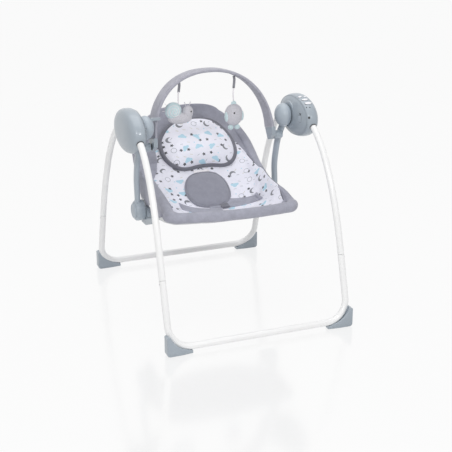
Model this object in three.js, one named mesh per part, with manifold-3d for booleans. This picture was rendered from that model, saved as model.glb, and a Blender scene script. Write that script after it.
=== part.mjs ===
// Baby swing: a folding tube frame with two hubs, swing arms, a reclining fabric seat and a toy bar.
// Millimetres. +Z is up, the child's feet point to -Y, and the origin lies on the floor mid-way
// between the four feet.
import * as THREE from 'three';
import { mergeVertices } from 'three/addons/utils/BufferGeometryUtils.js';
import Module from 'manifold-3d';

const wasm = await Module();
wasm.setup();

// ---------------------------------------------------------------- driving dimensions

const clearance = 0.3;

// Frame
const tubeOd = 19;
const tubeWall = 1.5;
const footDepth = 727;
const footWidth = 564;
const tubeRadius = tubeOd / 2;
const footWall = 4;
const footSide = 1.5;
const floorTubeY = footDepth / 2 - footWall - tubeRadius;
const floorTubeZ = 18;
const floorBend = 64;
const legX = footWidth / 2 - footSide - tubeRadius;
const kneeY = 297;
const kneeZ = 200;
const plugLength = 30;
const kneeGap = 0.5;

// Hubs: rounded housings that hold the tops of the legs and the swing axle
const pivotZ = 550;
const hubX = 264;
const hubY = -9;
const hubZ = pivotZ - 1.5;
const hubHalf = { x: 31, y: 101.5, z: 62.2 };
const hubPower = 2.86;
const hubWall = 2.5;
const hubSeamX = hubX - 17;
const hubLegX = hubX + 0.5;
const plateThickness = 2.5;
const plateX = hubSeamX + 5;
const bossRadius = 12;
const bossInnerX = hubSeamX - 3.4;
const bossOuterX = hubX + 10.5;
const foldDiscRadius = 26;
const foldDiscWidth = 18;
const foldAngle = 58;

// Swing arms
const axleRadius = 6;
const bushWall = 3.7;
const bushLength = 5;
const armX = hubX - 40;
const knobX = armX - 7.5;
const knobHalf = { x: 24.5, r: 35 };
const knobFaceX = armX + 7.5;
const armWidth = 16;
const armDepth = 24;
const reclineY = 72;
const reclineZ = pivotZ - 270;
const barrelRadius = 31;
const barrelInnerX = armX - 17;
const barrelOuterX = armX + 8;
const reclineCapRadius = 23;
const reclineCapX = barrelOuterX + 7;
const reclineCapTravel = 3;
const stubRadius = 8;
const stubLength = 16;

// Seat
const seatTubeRadius = 8;
const bracketOuterX = barrelInnerX - 1;
const bracketInnerX = bracketOuterX - 15;
const seatHalf = bracketOuterX - 3;
const rimBand = 26;
const seatCloth = 6;
const headCloth = 20;
const linerThickness = 12;
const pillowThickness = 36;
const padThickness = 18;
const strapRise = 7;
const rollRadius = 19;

// Toy bar
const lugInnerX = armX - 28;
const barX = lugInnerX - 12;
const barRise = 184;
const barY = 27;
const barZ = pivotZ - 40.5;
const barLean = 14.3;
const barCone = 9.8;
const barWidth = 56;
const barThickness = 9;
const barPivotY = 23.5;
const barPivotZ = barZ - 24.5;
const barPinRadius = 4;
const lugRadius = 13;

const degrees = Math.PI / 180;

// ---------------------------------------------------------------- materials

function finish(color, roughness, metalness = 0) {
  return new THREE.MeshStandardMaterial({ color, roughness, metalness });
}

const whiteEnamel = finish(0xf6f6f6, 0.35, 0.1);
const blueGreyPlastic = finish(0xa3aab3, 0.35);
const whitePlastic = finish(0xf4f4f8, 0.4);
const darkPlastic = finish(0x3a3d42, 0.5);
const steel = finish(0xb9bcc0, 0.3, 1);
const brass = finish(0xc2a25a, 0.35, 1);
const boardGreen = finish(0x2f6b45, 0.6);
const greyFabric = finish(0xa2a2ad, 0.95);
const barFabric = finish(0xb0aeba, 0.95);
const printFabric = finish(0xe6e5f2, 0.9);
const plushFabric = finish(0xb9b3b2, 1);

// ---------------------------------------------------------------- geometry helpers

const at = (x, y, z) => new THREE.Vector3(x, y, z);

// Turns a closed geometry into a solid that can be cut and joined.
function solid(geometry) {
  const plain = geometry.clone();
  plain.deleteAttribute('normal');
  plain.deleteAttribute('uv');
  const merged = mergeVertices(plain, 1e-4);
  const vertProperties = new Float32Array(merged.attributes.position.array);
  const triVerts = new Uint32Array(merged.index.array);
  return new wasm.Manifold(new wasm.Mesh({ numProp: 3, vertProperties, triVerts }));
}

function geometryOf(shape) {
  const mesh = shape.getMesh();
  const geometry = new THREE.BufferGeometry();
  geometry.setAttribute('position', new THREE.BufferAttribute(mesh.vertProperties, 3));
  geometry.setIndex(new THREE.BufferAttribute(mesh.triVerts, 1));
  geometry.computeVertexNormals();
  return geometry;
}

function join(first, ...others) {
  return others.reduce((sum, other) => sum.add(solid(other)), solid(first));
}

function cut(shape, ...tools) {
  return tools.reduce((rest, tool) => rest.subtract(solid(tool)), shape);
}

// Turns every face of a geometry round.
function flipped(geometry) {
  if (!geometry.index) geometry.setIndex([...Array(geometry.attributes.position.count).keys()]);
  const index = geometry.index.array;
  for (let i = 0; i < index.length; i += 3) [index[i], index[i + 1]] = [index[i + 1], index[i]];
  geometry.computeVertexNormals();
  return geometry;
}

// The same piece on the other side of the middle plane X = 0, or of Y = 0.
function mirrored(geometry, x = -1, y = 1) {
  return flipped(geometry.clone().scale(x, y, 1));
}

function block(x0, x1, y0, y1, z0, z1) {
  const geometry = new THREE.BoxGeometry(x1 - x0, y1 - y0, z1 - z0);
  return geometry.translate((x0 + x1) / 2, (y0 + y1) / 2, (z0 + z1) / 2);
}

// A round bar along X from x0 to x1.
function barAlongX(radius, x0, x1, y, z, sides = 16) {
  const geometry = new THREE.CylinderGeometry(radius, radius, x1 - x0, sides);
  return geometry.rotateZ(-Math.PI / 2).translate((x0 + x1) / 2, y, z);
}

// A ring along X with a bore.
function ringAlongX(radius, bore, x0, x1, y, z, sides = 12) {
  const profile = [[bore, x0], [radius, x0], [radius, x1], [bore, x1], [bore, x0]];
  const points = profile.map(([r, x]) => new THREE.Vector2(r, x));
  return new THREE.LatheGeometry(points, sides).rotateZ(-Math.PI / 2).translate(0, y, z);
}

// A plate from x0 to x1 whose outline is drawn in Y and Z.
function plateAlongX(outline, x0, x1, curveSegments = 8) {
  const geometry = new THREE.ExtrudeGeometry(outline, { depth: x1 - x0, bevelEnabled: false, curveSegments });
  const drawnInYZ = new THREE.Matrix4().makeBasis(at(0, 1, 0), at(0, 0, 1), at(1, 0, 0));
  return geometry.applyMatrix4(drawnInYZ).translate(x0, 0, 0);
}

function roundBarBetween(start, end, radius, sides = 10) {
  const direction = end.clone().sub(start);
  const geometry = new THREE.CylinderGeometry(radius, radius, direction.length(), sides);
  const turn = new THREE.Quaternion().setFromUnitVectors(at(0, 1, 0), direction.clone().normalize());
  const middle = start.clone().add(end).multiplyScalar(0.5);
  return geometry.applyQuaternion(turn).translate(middle.x, middle.y, middle.z);
}

// A path of several curves, each with its own number of steps, so bends get more than straights.
class SteppedPath extends THREE.Curve {
  constructor(pieces) {
    super();
    this.pieces = pieces;
    this.steps = pieces.reduce((sum, piece) => sum + piece.steps, 0);
  }

  getPoint(t, target = new THREE.Vector3()) {
    let step = Math.min(Math.max(t, 0), 1) * this.steps;
    for (const piece of this.pieces) {
      const last = piece === this.pieces[this.pieces.length - 1];
      if (step <= piece.steps || last) {
        return target.copy(piece.curve.getPoint(Math.min(step / piece.steps, 1)));
      }
      step -= piece.steps;
    }
    return target;
  }

  getUtoTmapping(u) {
    return u;
  }
}

function straight(start, end, steps = 1) {
  return { curve: new THREE.LineCurve3(start, end), steps };
}

// A quarter-turn bend of a tube round a corner, tangent to both straights.
function bend(start, corner, end, steps = 5) {
  const curve = new THREE.Curve();
  const centre = start.clone().add(end).sub(corner);
  const fromStart = start.clone().sub(centre);
  const fromEnd = end.clone().sub(centre);
  curve.getPoint = (t) => centre.clone()
    .addScaledVector(fromStart, Math.cos(t * Math.PI / 2))
    .addScaledVector(fromEnd, Math.sin(t * Math.PI / 2));
  return { curve, steps };
}

function circle(radius, sides) {
  return Array.from({ length: sides }, (_, i) => {
    const angle = (i / sides) * 2 * Math.PI;
    return new THREE.Vector2(radius * Math.cos(angle), radius * Math.sin(angle));
  });
}

// A tube along a path, with a bore where one is given.
function tubeAlong(path, radius, bore = 0, sides = 10, boreSides = 6) {
  const section = new THREE.Shape(circle(radius, sides));
  if (bore > 0) section.holes.push(new THREE.Path(circle(bore, boreSides)));
  return new THREE.ExtrudeGeometry(section, { extrudePath: path, steps: path.steps });
}

// A closed slab between two surfaces over the same grid of parameters u and v in 0..1.
function slab(top, bottom, columns, rows) {
  const positions = [];
  const index = [];
  const width = columns.length;
  const height = rows.length;
  for (const surface of [top, bottom]) {
    for (const v of rows) {
      for (const u of columns) positions.push(...surface(u, v).toArray());
    }
  }
  const vertex = (side, i, j) => side * width * height + j * width + i;
  const face = (a, b, c, d) => index.push(a, b, c, a, c, d);
  for (let j = 0; j < height - 1; j += 1) {
    for (let i = 0; i < width - 1; i += 1) {
      face(vertex(0, i, j), vertex(0, i + 1, j), vertex(0, i + 1, j + 1), vertex(0, i, j + 1));
      face(vertex(1, i, j), vertex(1, i, j + 1), vertex(1, i + 1, j + 1), vertex(1, i + 1, j));
    }
  }
  for (let i = 0; i < width - 1; i += 1) {
    face(vertex(0, i, 0), vertex(1, i, 0), vertex(1, i + 1, 0), vertex(0, i + 1, 0));
    const j = height - 1;
    face(vertex(0, i, j), vertex(0, i + 1, j), vertex(1, i + 1, j), vertex(1, i, j));
  }
  for (let j = 0; j < height - 1; j += 1) {
    face(vertex(0, 0, j), vertex(0, 0, j + 1), vertex(1, 0, j + 1), vertex(1, 0, j));
    const i = width - 1;
    face(vertex(0, i, j), vertex(1, i, j), vertex(1, i, j + 1), vertex(0, i, j + 1));
  }
  const geometry = new THREE.BufferGeometry();
  geometry.setAttribute('position', new THREE.Float32BufferAttribute(positions, 3));
  geometry.setIndex(index);
  geometry.computeVertexNormals();
  return solid(geometry).volume() > 0 ? geometry : flipped(geometry);
}

const evenly = (count, from = 0, to = 1) => (
  Array.from({ length: count + 1 }, (_, i) => from + (to - from) * (i / count))
);

// An egg-like body whose profile along X is a super-ellipse and whose Y-Z sections are ellipses.
function superEllipsoid(half, power, centre, segments = 20, rings = 10) {
  const profile = evenly(rings, -Math.PI / 2, Math.PI / 2).map((angle, i) => {
    const onAxis = i === 0 || i === rings;
    const radius = onAxis ? 0 : Math.cos(angle) ** (2 / power);
    const along = Math.sign(angle) * Math.abs(Math.sin(angle)) ** (2 / power);
    return new THREE.Vector2(radius, along * half.x);
  });
  const geometry = new THREE.LatheGeometry(profile, segments).rotateZ(-Math.PI / 2);
  return geometry.scale(1, half.y, half.z).translate(centre.x, centre.y, centre.z);
}

// ---------------------------------------------------------------- frame tubes and feet

const corner = at(legX, floorTubeY, floorTubeZ);
const knee = at(legX, kneeY, kneeZ);
const legUp = knee.clone().sub(corner).normalize();
const kneeGapEnd = knee.clone().addScaledVector(legUp, -kneeGap);
const bendTop = corner.clone().addScaledVector(legUp, floorBend);
const bendSide = at(legX - floorBend, floorTubeY, floorTubeZ);

// The half of a floor tube on the +X side of the rear frame: down from the knee and round the bend.
function floorTubePath() {
  const flip = (point) => at(-point.x, point.y, point.z);
  return new SteppedPath([
    straight(flip(kneeGapEnd), flip(bendTop)),
    bend(flip(bendTop), flip(corner), flip(bendSide)),
    straight(flip(bendSide), bendSide),
    bend(bendSide, corner, bendTop),
    straight(bendTop, kneeGapEnd),
  ]);
}

// The upper leg sweeps from the knee up and over into the hub.
const legTop = at(hubLegX, 62, pivotZ + 3);
const legTopLead = at(hubLegX + 0.5, 188.4, pivotZ - 31.5);
const legKneeLead = knee.clone().addScaledVector(legUp, 150);
const intoHub = legTop.clone().sub(legTopLead).setX(0).normalize();
const legEnd = legTop.clone().addScaledVector(intoHub, 28);

function upperLegPath(extra = 0) {
  const sweep = new THREE.CubicBezierCurve3(knee, legKneeLead, legTopLead, legTop);
  const end = legEnd.clone().addScaledVector(intoHub, extra);
  return new SteppedPath([{ curve: sweep, steps: 9 }, straight(legTop, end)]);
}

const boreRadius = tubeRadius - tubeWall;
const plugRadius = boreRadius * Math.cos(Math.PI / 6) - clearance;

// Upper leg with the plug that joins it to the floor tube.
function upperLeg() {
  const tube = tubeAlong(upperLegPath(), tubeRadius, boreRadius);
  const plugTop = knee.clone().addScaledVector(legUp, plugLength / 2);
  const plugBottom = knee.clone().addScaledVector(legUp, -plugLength);
  const plug = roundBarBetween(plugBottom, plugTop, plugRadius);
  const collarTop = knee.clone().addScaledVector(legUp, plugLength / 2);
  const collarFoot = knee.clone().addScaledVector(legUp, 1);
  const collar = roundBarBetween(collarFoot, collarTop, boreRadius + 0.2);
  return geometryOf(join(tube, plug, collar));
}

function floorTube() {
  return tubeAlong(floorTubePath(), tubeRadius, boreRadius);
}

// Wedge foot under the bend of a floor tube; the tube lies in a channel in its hollowed slope.
const footOuterX = footWidth / 2;
const slopeWall = 4;
const footHeight = 58;

function foot() {
  const arcX = legX - floorBend;
  const arcZ = floorTubeZ + floorBend;
  const slopeRadius = floorBend + tubeRadius - slopeWall;
  const footThickness = 2 * (tubeRadius + footWall);
  const cornerRound = 12;
  const startAngle = -Math.PI / 2;
  const endAngle = -Math.asin((arcZ - footHeight) / slopeRadius);
  const outline = new THREE.Shape();
  outline.moveTo(arcX, 1);
  outline.lineTo(arcX, arcZ - slopeRadius);
  outline.absarc(arcX, arcZ, slopeRadius, startAngle, endAngle, false);
  outline.lineTo(footOuterX, footHeight);
  outline.lineTo(footOuterX, cornerRound);
  outline.absarc(footOuterX - cornerRound, cornerRound, cornerRound, 0, startAngle, true);
  outline.lineTo(arcX + 4, 0);
  const wedge = new THREE.ExtrudeGeometry(outline, { depth: footThickness, bevelEnabled: false, curveSegments: 6 });
  wedge.rotateX(Math.PI / 2).translate(0, footDepth / 2, 0);
  const channel = tubeAlong(floorTubePath(), tubeRadius + clearance);
  return geometryOf(cut(solid(wedge), channel));
}

// ---------------------------------------------------------------- hubs

const hubCentre = at(hubX, hubY, hubZ);

function hubBody(inset = 0) {
  const half = { x: hubHalf.x - inset, y: hubHalf.y - inset, z: hubHalf.z - inset };
  return superEllipsoid(half, hubPower, hubCentre, inset > 0 ? 16 : 24, inset > 0 ? 8 : 10);
}

const hubReach = 140;

// A slice of the space round the hub, from x0 to x1.
function hubSlice(x0, x1) {
  return block(x0, x1, -hubReach, hubReach, pivotZ - hubReach, pivotZ + hubReach);
}

const innerSide = hubSlice(hubX - hubReach, hubSeamX - clearance / 2);
const outerSide = hubSlice(hubSeamX + clearance / 2, hubX + hubReach);

// Sector in the plane of the legs that the rear leg passes through as the frame folds. It opens
// a little above the leg when the frame stands, and further below it when the frame is folded.
const slotAbove = 6;
const slotBelow = 17;

function foldSlot() {
  const start = slotAbove * degrees;
  const end = -(foldAngle + slotBelow) * degrees;
  const sector = new THREE.Shape();
  sector.moveTo(0, 0);
  sector.absarc(0, 0, hubReach, start, end, true);
  sector.lineTo(0, 0);
  const halfWidth = tubeRadius + 1;
  return plateAlongX(sector, hubLegX - halfWidth, hubLegX + halfWidth).translate(0, 0, pivotZ);
}

function frontLegTunnel() {
  return mirrored(tubeAlong(upperLegPath(3), tubeRadius + clearance), 1, -1);
}

// Outer edge of the battery door, as an oval bar along X.
const doorHalf = { y: 60, z: 24 };

function doorCutter(grow) {
  const oval = barAlongX(1, hubX + hubHalf.x / 2, hubX + hubHalf.x + 10, 0, 0, 20);
  return oval.scale(1, doorHalf.y + grow, doorHalf.z + grow).translate(0, hubY, hubZ);
}

// Buttons on the crown of the right hub: place, half length along X, half width, and lean.
const hubButtons = [
  { x: hubX - 9, y: -34, halfLength: 6, halfWidth: 4 },
  { x: hubX + 6, y: -36, halfLength: 4.5, halfWidth: 3.5 },
  { x: hubX - 3, y: -55, halfLength: 10, halfWidth: 4.5 },
  { x: hubX - 0.5, y: -73, halfLength: 11, halfWidth: 5 },
];
const buttonDepth = 7;
const buttonProud = 1;
const buttonTravel = 1.5;

// Height and outward normal of the hub's crown over a point (x, y).
function hubCrown(x, y) {
  const side = Math.abs((x - hubX) / hubHalf.x) ** hubPower;
  const radial = (1 - side) ** (1 / hubPower);
  const across = (y - hubY) / hubHalf.y;
  const up = Math.sqrt(Math.max(radial ** 2 - across ** 2, 0));
  const z = hubZ + hubHalf.z * up;
  const normal = at(
    Math.sign(x - hubX) * Math.abs((x - hubX) / hubHalf.x) ** (hubPower - 1) / hubHalf.x,
    radial ** (hubPower - 2) * across / hubHalf.y,
    radial ** (hubPower - 2) * up / hubHalf.z,
  ).normalize();
  return { point: at(x, y, z), normal };
}

function ovalPeg(button, grow, depth, proud) {
  const { point, normal } = hubCrown(button.x, button.y);
  const geometry = new THREE.CylinderGeometry(1, 1, depth + proud, 12);
  geometry.scale(button.halfLength + grow, 1, button.halfWidth + grow);
  geometry.translate(0, (proud - depth) / 2, 0);
  const turn = new THREE.Quaternion().setFromUnitVectors(at(0, 1, 0), normal);
  return geometry.applyQuaternion(turn).translate(point.x, point.y, point.z);
}

// Fold release on the inner face of each hub.
const releaseY = -74;
const releaseZ = pivotZ + 2.5;
const releaseHalf = { y: 6.5, z: 9.5 };
const releaseDepth = 8;

function hubFaceX(y, z) {
  const radial = Math.hypot((y - hubY) / hubHalf.y, (z - hubZ) / hubHalf.z);
  return hubX - hubHalf.x * (1 - radial ** hubPower) ** (1 / hubPower);
}

function releaseBlock(grow, x0, x1) {
  return block(
    x0, x1,
    releaseY - releaseHalf.y - grow, releaseY + releaseHalf.y + grow,
    releaseZ - releaseHalf.z - grow, releaseZ + releaseHalf.z + grow,
  );
}

const releaseFaceX = hubFaceX(releaseY, releaseZ);

function releaseButton() {
  return releaseBlock(0, releaseFaceX - 0.5, releaseFaceX + releaseDepth);
}

// Mains inlet in the nose of the right hub.
const jackPlace = at(hubX - 11.5, -104.5, pivotZ + 11);
const jackDirection = at(-0.35, -0.9, 0.27).normalize();
const jackRadius = 4;
const inletDepth = 10;

function jackBar(radius, from, to) {
  const start = jackPlace.clone().addScaledVector(jackDirection, from);
  const end = jackPlace.clone().addScaledVector(jackDirection, to);
  return roundBarBetween(start, end, radius, 12);
}

const bushOuter = axleRadius + clearance + bushWall;

function hubInnerShell() {
  const shell = solid(hubBody()).subtract(solid(hubBody(hubWall))).intersect(solid(innerSide));
  const bushHole = barAlongX(bushOuter + clearance, knobFaceX, bossInnerX + 2, 0, pivotZ);
  const releaseHole = releaseBlock(clearance, knobFaceX, hubSeamX + 1);
  return cut(shell, bushHole, releaseHole);
}

function hubOuterShell() {
  const shell = solid(hubBody()).subtract(solid(hubBody(hubWall))).intersect(solid(outerSide));
  return cut(shell, foldSlot(), frontLegTunnel());
}

function rightHubOuterShell() {
  const holes = hubButtons.map((button) => ovalPeg(button, clearance, 20, 20));
  return geometryOf(cut(hubOuterShell(), doorCutter(clearance), jackBar(jackRadius + clearance, -20, 20), ...holes));
}

function batteryDoor() {
  const shell = solid(hubBody()).subtract(solid(hubBody(hubWall)));
  return geometryOf(shell.intersect(solid(doorCutter(0))));
}

// Plate across the hub that carries the axle boss, the leg sockets and the drive.
const wheelY = -12;
const wheelZ = pivotZ + 23;
const wheelRadius = 11.6;
const wheelX0 = hubSeamX - 4;
const wheelX1 = wheelX0 + 5;
const wheelStub = 2;

function bearingPlate() {
  const shape = solid(hubBody(hubWall + clearance));
  const slice = hubSlice(plateX, plateX + plateThickness);
  const boss = barAlongX(bossRadius, bossInnerX, bossOuterX, 0, pivotZ);
  const bore = barAlongX(axleRadius + clearance, bossInnerX - 1, bossOuterX + 1, 0, pivotZ);
  return shape.intersect(solid(slice)).add(solid(boss)).subtract(solid(bore));
}

function rightBearingPlate() {
  const stub = barAlongX(wheelStub, wheelX0, plateX + 1, wheelY, wheelZ, 12);
  return geometryOf(cut(
    bearingPlate().add(solid(stub)),
    boardBlock(clearance, hubHalf.z),
    jackBar(jackRadius + clearance, -inletDepth - clearance, inletDepth),
    ...hubButtons.map((button) => ovalPeg(button, clearance, buttonDepth + buttonTravel + clearance, buttonProud)),
  ));
}

function bush() {
  return ringAlongX(bushOuter, axleRadius + clearance, knobFaceX + 1, knobFaceX + 1 + bushLength, 0, pivotZ);
}

// Disc at the top of a rear leg that turns on the axle boss, with the plug that holds the leg.
function foldDisc() {
  const x0 = hubLegX - foldDiscWidth / 2;
  const disc = barAlongX(foldDiscRadius, x0, x0 + foldDiscWidth, 0, pivotZ, 20);
  const plugStart = legEnd.clone().addScaledVector(intoHub, 22);
  const plugEnd = legEnd.clone().addScaledVector(intoHub, -plugLength / 2);
  const plug = roundBarBetween(plugStart, plugEnd, plugRadius);
  const bore = barAlongX(bossRadius + clearance, x0 - 1, x0 + foldDiscWidth + 1, 0, pivotZ, 20);
  return geometryOf(cut(join(disc, plug), bore));
}

// ---------------------------------------------------------------- drive and electrics

const wormX = (wheelX0 + wheelX1) / 2;
const wormRadius = 4;
const wormY = wheelY - wheelRadius - wormRadius - 0.4;
const wormLow = wheelZ - 15;
const wormHigh = wheelZ + 15;
const motorTop = wormLow - 10;
const motorHalf = { x: 4, y: 7.8, z: 13 };
const crankRadius = 4;
const crankPinRadius = 1.6;

function worm() {
  const ridges = 5;
  const pitch = (wormHigh - wormLow) / ridges;
  const points = [[0, motorTop + clearance], [1.5, motorTop + clearance], [1.5, wormLow]];
  for (let i = 0; i < ridges; i += 1) {
    points.push([wormRadius - 1.2, wormLow + pitch * i], [wormRadius, wormLow + pitch * (i + 0.5)]);
  }
  points.push([wormRadius - 1.2, wormHigh], [0, wormHigh]);
  const profile = points.map(([r, z]) => new THREE.Vector2(r, z));
  return new THREE.LatheGeometry(profile, 8).rotateX(Math.PI / 2).translate(wormX, wormY, 0);
}

function wormWheel() {
  const teeth = 20;
  const outline = Array.from({ length: teeth * 2 }, (_, i) => {
    const angle = ((i + 0.5) / (teeth * 2)) * 2 * Math.PI;
    const radius = i % 2 ? wheelRadius : wheelRadius - 1;
    return new THREE.Vector2(radius * Math.cos(angle), radius * Math.sin(angle));
  });
  const shape = new THREE.Shape(outline);
  shape.holes.push(new THREE.Path(circle(wheelStub + clearance, 12)));
  const wheel = plateAlongX(shape, wheelX0, wheelX1).translate(0, wheelY, wheelZ);
  const pin = barAlongX(crankPinRadius, forkX0 + 0.2, wheelX0 + 1, wheelY, wheelZ + crankRadius, 10);
  return geometryOf(join(wheel, pin));
}

function motor() {
  const z = motorTop - motorHalf.z;
  return block(
    wormX - motorHalf.x, wormX + motorHalf.x,
    wormY - motorHalf.y, wormY + motorHalf.y,
    z - motorHalf.z, motorTop,
  );
}

function speaker() {
  return barAlongX(13, plateX - clearance - 6, plateX - clearance, 48, pivotZ - 5, 20);
}

// The circuit board hangs under the buttons, in line with the crown.
const board = { x: hubX - 1, y: -52, width: 21, length: 54, thickness: 1.6, depth: 13.5 };

function boardBlock(grow, above) {
  const { point, normal } = hubCrown(board.x, board.y);
  const height = board.thickness + grow + above;
  const geometry = new THREE.BoxGeometry(board.width + 2 * grow, board.length + 2 * grow, height);
  geometry.translate(0, 0, height / 2 - grow - board.depth);
  geometry.rotateX(Math.atan2(-normal.y, normal.z));
  return geometry.translate(point.x, point.y, point.z);
}

const cellRadius = 7.25;
const cellLength = 50.5;
const cellX = bossOuterX + clearance + cellRadius + 0.8;

function batteryCell() {
  const profile = [[0, 0], [cellRadius, 0], [cellRadius, cellLength - 1.5], [2.7, cellLength - 1.5], [2.7, cellLength], [0, cellLength]];
  return new THREE.LatheGeometry(profile.map(([r, y]) => new THREE.Vector2(r, y)), 10);
}

// ---------------------------------------------------------------- swing arms

const forkX0 = wheelX0 - 3.8;
const forkX1 = forkX0 + 2;
const forkHalfGap = 13.4;
const forkProng = 4;
const forkHeight = 31;

function axle(inner, outer) {
  return barAlongX(axleRadius, inner, outer, 0, pivotZ, 20);
}

const axleInnerX = armX - 14;
const axleEndX = bossOuterX - 1;

// Right axle with the fork that the crank pin pushes, with free play on both sides of the pin.
function rightAxle() {
  const outline = new THREE.Shape();
  const outside = forkHalfGap + forkProng;
  outline.moveTo(-outside, 6);
  outline.lineTo(-8, -9);
  outline.lineTo(8, -9);
  outline.lineTo(outside, 6);
  outline.lineTo(outside, forkHeight);
  outline.lineTo(forkHalfGap, forkHeight);
  outline.lineTo(forkHalfGap, 10);
  outline.lineTo(-forkHalfGap, 10);
  outline.lineTo(-forkHalfGap, forkHeight);
  outline.lineTo(-outside, forkHeight);
  const towardWheel = Math.atan2(-wheelY, wheelZ - pivotZ);
  const fork = plateAlongX(outline, forkX0, forkX1).rotateX(towardWheel).translate(0, 0, pivotZ);
  return geometryOf(join(axle(axleInnerX, axleEndX), fork));
}

const armPoints = [
  [0, pivotZ], [24, pivotZ - 41], [41, pivotZ - 67], [55, pivotZ - 95], [67, pivotZ - 133], [73, pivotZ - 159],
  [75, reclineZ + 87], [73, reclineZ + 64], [71, reclineZ + 40], [reclineY, reclineZ],
];

function knob() {
  const centre = at(knobX, 0, pivotZ);
  return superEllipsoid({ x: knobHalf.x, y: knobHalf.r, z: knobHalf.r }, 2, centre, 18, 10);
}

function armSweep() {
  const curve = new THREE.CatmullRomCurve3(armPoints.map(([y, z]) => at(armX, y, z)));
  const section = new THREE.Shape();
  section.absellipse(0, 0, armWidth / 2, armDepth / 2, 0, 2 * Math.PI);
  return new THREE.ExtrudeGeometry(section, { extrudePath: curve, steps: 11, curveSegments: 4 });
}

// The swing lock is a tongue that slides into a pocket in the inner side of the left arm's head.
const lockZ = pivotZ + 23;
const lockHalf = { y: 5, z: 3.5 };
const lockLength = 28;
const lockTipX = armX - 53;
const lockTravel = 6;

function lockTongue(grow, deeper) {
  return block(
    lockTipX - grow, lockTipX + lockLength + deeper,
    -lockHalf.y - grow, lockHalf.y + grow,
    lockZ - lockHalf.z - grow, lockZ + lockHalf.z + grow,
  );
}

function arm() {
  const head = solid(knob()).intersect(solid(hubSlice(0, knobFaceX)));
  const barrel = barAlongX(barrelRadius, barrelInnerX, barrelOuterX, reclineY, reclineZ, 20);
  const step = barAlongX(barrelRadius - 3, barrelInnerX, barrelOuterX + 2, reclineY, reclineZ, 20);
  const lug = barAlongX(lugRadius, lugInnerX, armX, barPivotY, barPivotZ, 14);
  const body = head.add(join(armSweep(), barrel, step, lug));
  return cut(
    body,
    barAlongX(axleRadius + clearance, axleInnerX - 1, knobFaceX + 1, 0, pivotZ, 20),
    barAlongX(stubRadius + clearance, barrelInnerX - 1, barrelInnerX + stubLength + 1, reclineY, reclineZ, 20),
    barAlongX(reclineCapRadius + clearance, reclineCapX - 13.5, barrelOuterX + 5, reclineY, reclineZ, 20),
    barAlongX(barPinRadius + clearance, lugInnerX - 1, lugInnerX + 13, barPivotY, barPivotZ, 10),
  );
}

function leftArm() {
  return mirrored(geometryOf(cut(arm(), lockTongue(clearance, lockTravel + clearance))));
}

function reclineCap() {
  const lowX = reclineCapX - 10;
  const cap = barAlongX(reclineCapRadius, lowX, reclineCapX - 1.5, reclineY, reclineZ, 20);
  const face = barAlongX(reclineCapRadius - 3, lowX, reclineCapX, reclineY, reclineZ, 20);
  return geometryOf(join(cap, face));
}

// ---------------------------------------------------------------- seat frame

// Points of the two seat tubes: how far inside the seat's side edge, Y, and height over the recline
// axis. The middle points lie on X = 0.
const frontTubePoints = [
  [6, 34, -12], [6.5, -10, 1], [7.5, -60, 16], [5, -112, 25], [17, -141, 26.5], [63, -155, 26.5],
];
const frontMiddle = [0, -166, 26];
const backTubePoints = [
  [7, 60, -8], [8, 84, 20], [11, 122, 66], [14, 165, 100], [21, 213, 123], [32, 249, 161], [53, 271, 194], [85, 284, 220],
  [133, 287, 237],
];
const backMiddle = [0, 287, 244];

// A smooth path from the right end through a middle point to the mirrored left end.
function symmetricPath(points, middle, steps) {
  const right = points.map(([inset, y, z]) => at(seatHalf - inset, y, reclineZ + z));
  const left = right.map((point) => at(-point.x, point.y, point.z)).reverse();
  const curve = new THREE.CatmullRomCurve3([...right, at(0, middle[1], reclineZ + middle[2]), ...left]);
  curve.steps = steps;
  return curve;
}

const frontTubePath = symmetricPath(frontTubePoints, frontMiddle, 24);
const backTubePath = symmetricPath(backTubePoints, backMiddle, 26);

function seatTube(path) {
  return tubeAlong(path, seatTubeRadius, seatTubeRadius - tubeWall, 8, 4);
}

// Room for a seat tube in the fabric or the bracket.
function seatTubeRoom(path) {
  const sides = 6;
  return tubeAlong(path, (seatTubeRadius + clearance) / Math.cos(Math.PI / sides), 0, sides);
}

// Bracket that carries both seat tubes and turns in the arm's barrel.
function seatBracket() {
  const outline = new THREE.Shape();
  outline.moveTo(92, -44);
  outline.quadraticCurveTo(104, -18, 96, 13);
  outline.lineTo(40, 11);
  outline.quadraticCurveTo(4, 7, -8, -4);
  outline.quadraticCurveTo(-10, -16, 2, -24);
  outline.lineTo(52, -43);
  outline.lineTo(92, -44);
  const plate = plateAlongX(outline, bracketInnerX, bracketOuterX, 5).translate(0, 0, reclineZ);
  const stub = barAlongX(stubRadius, bracketOuterX - 1, barrelInnerX + stubLength, reclineY, reclineZ, 20);
  return geometryOf(cut(
    join(plate, stub),
    seatTubeRoom(frontTubePath),
    seatTubeRoom(backTubePath),
  ));
}

// ---------------------------------------------------------------- seat fabric

// Stations from the head end to the front: rim edge (how far inside the seat's side edge, Y, height),
// floor of the lining side (Y, height), and the skirt's depth. Heights are over the recline axis.
const stations = [
  { rim: [38, 270, 205], floor: [276, 261], skirt: 22 },
  { rim: [20, 247, 182], floor: [266, 215], skirt: 26 },
  { rim: [7, 203, 149], floor: [237, 157], skirt: 32 },
  { rim: [1, 158, 124], floor: [181, 110], skirt: 40 },
  { rim: [0, 110, 108], floor: [122, 63], skirt: 46 },
  { rim: [0, 60, 93], floor: [72, 18], skirt: 50 },
  { rim: [0, 15, 80], floor: [20, -12], skirt: 52 },
  { rim: [0, -30, 70], floor: [-28, -18], skirt: 50 },
  { rim: [-1, -70, 63], floor: [-76, -10], skirt: 48 },
  { rim: [-1, -98, 58], floor: [-118, 10], skirt: 44 },
];
const rimCurve = new THREE.CatmullRomCurve3(stations.map(({ rim: [inset, y, z] }) => at(seatHalf - inset, y, reclineZ + z)));
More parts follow.
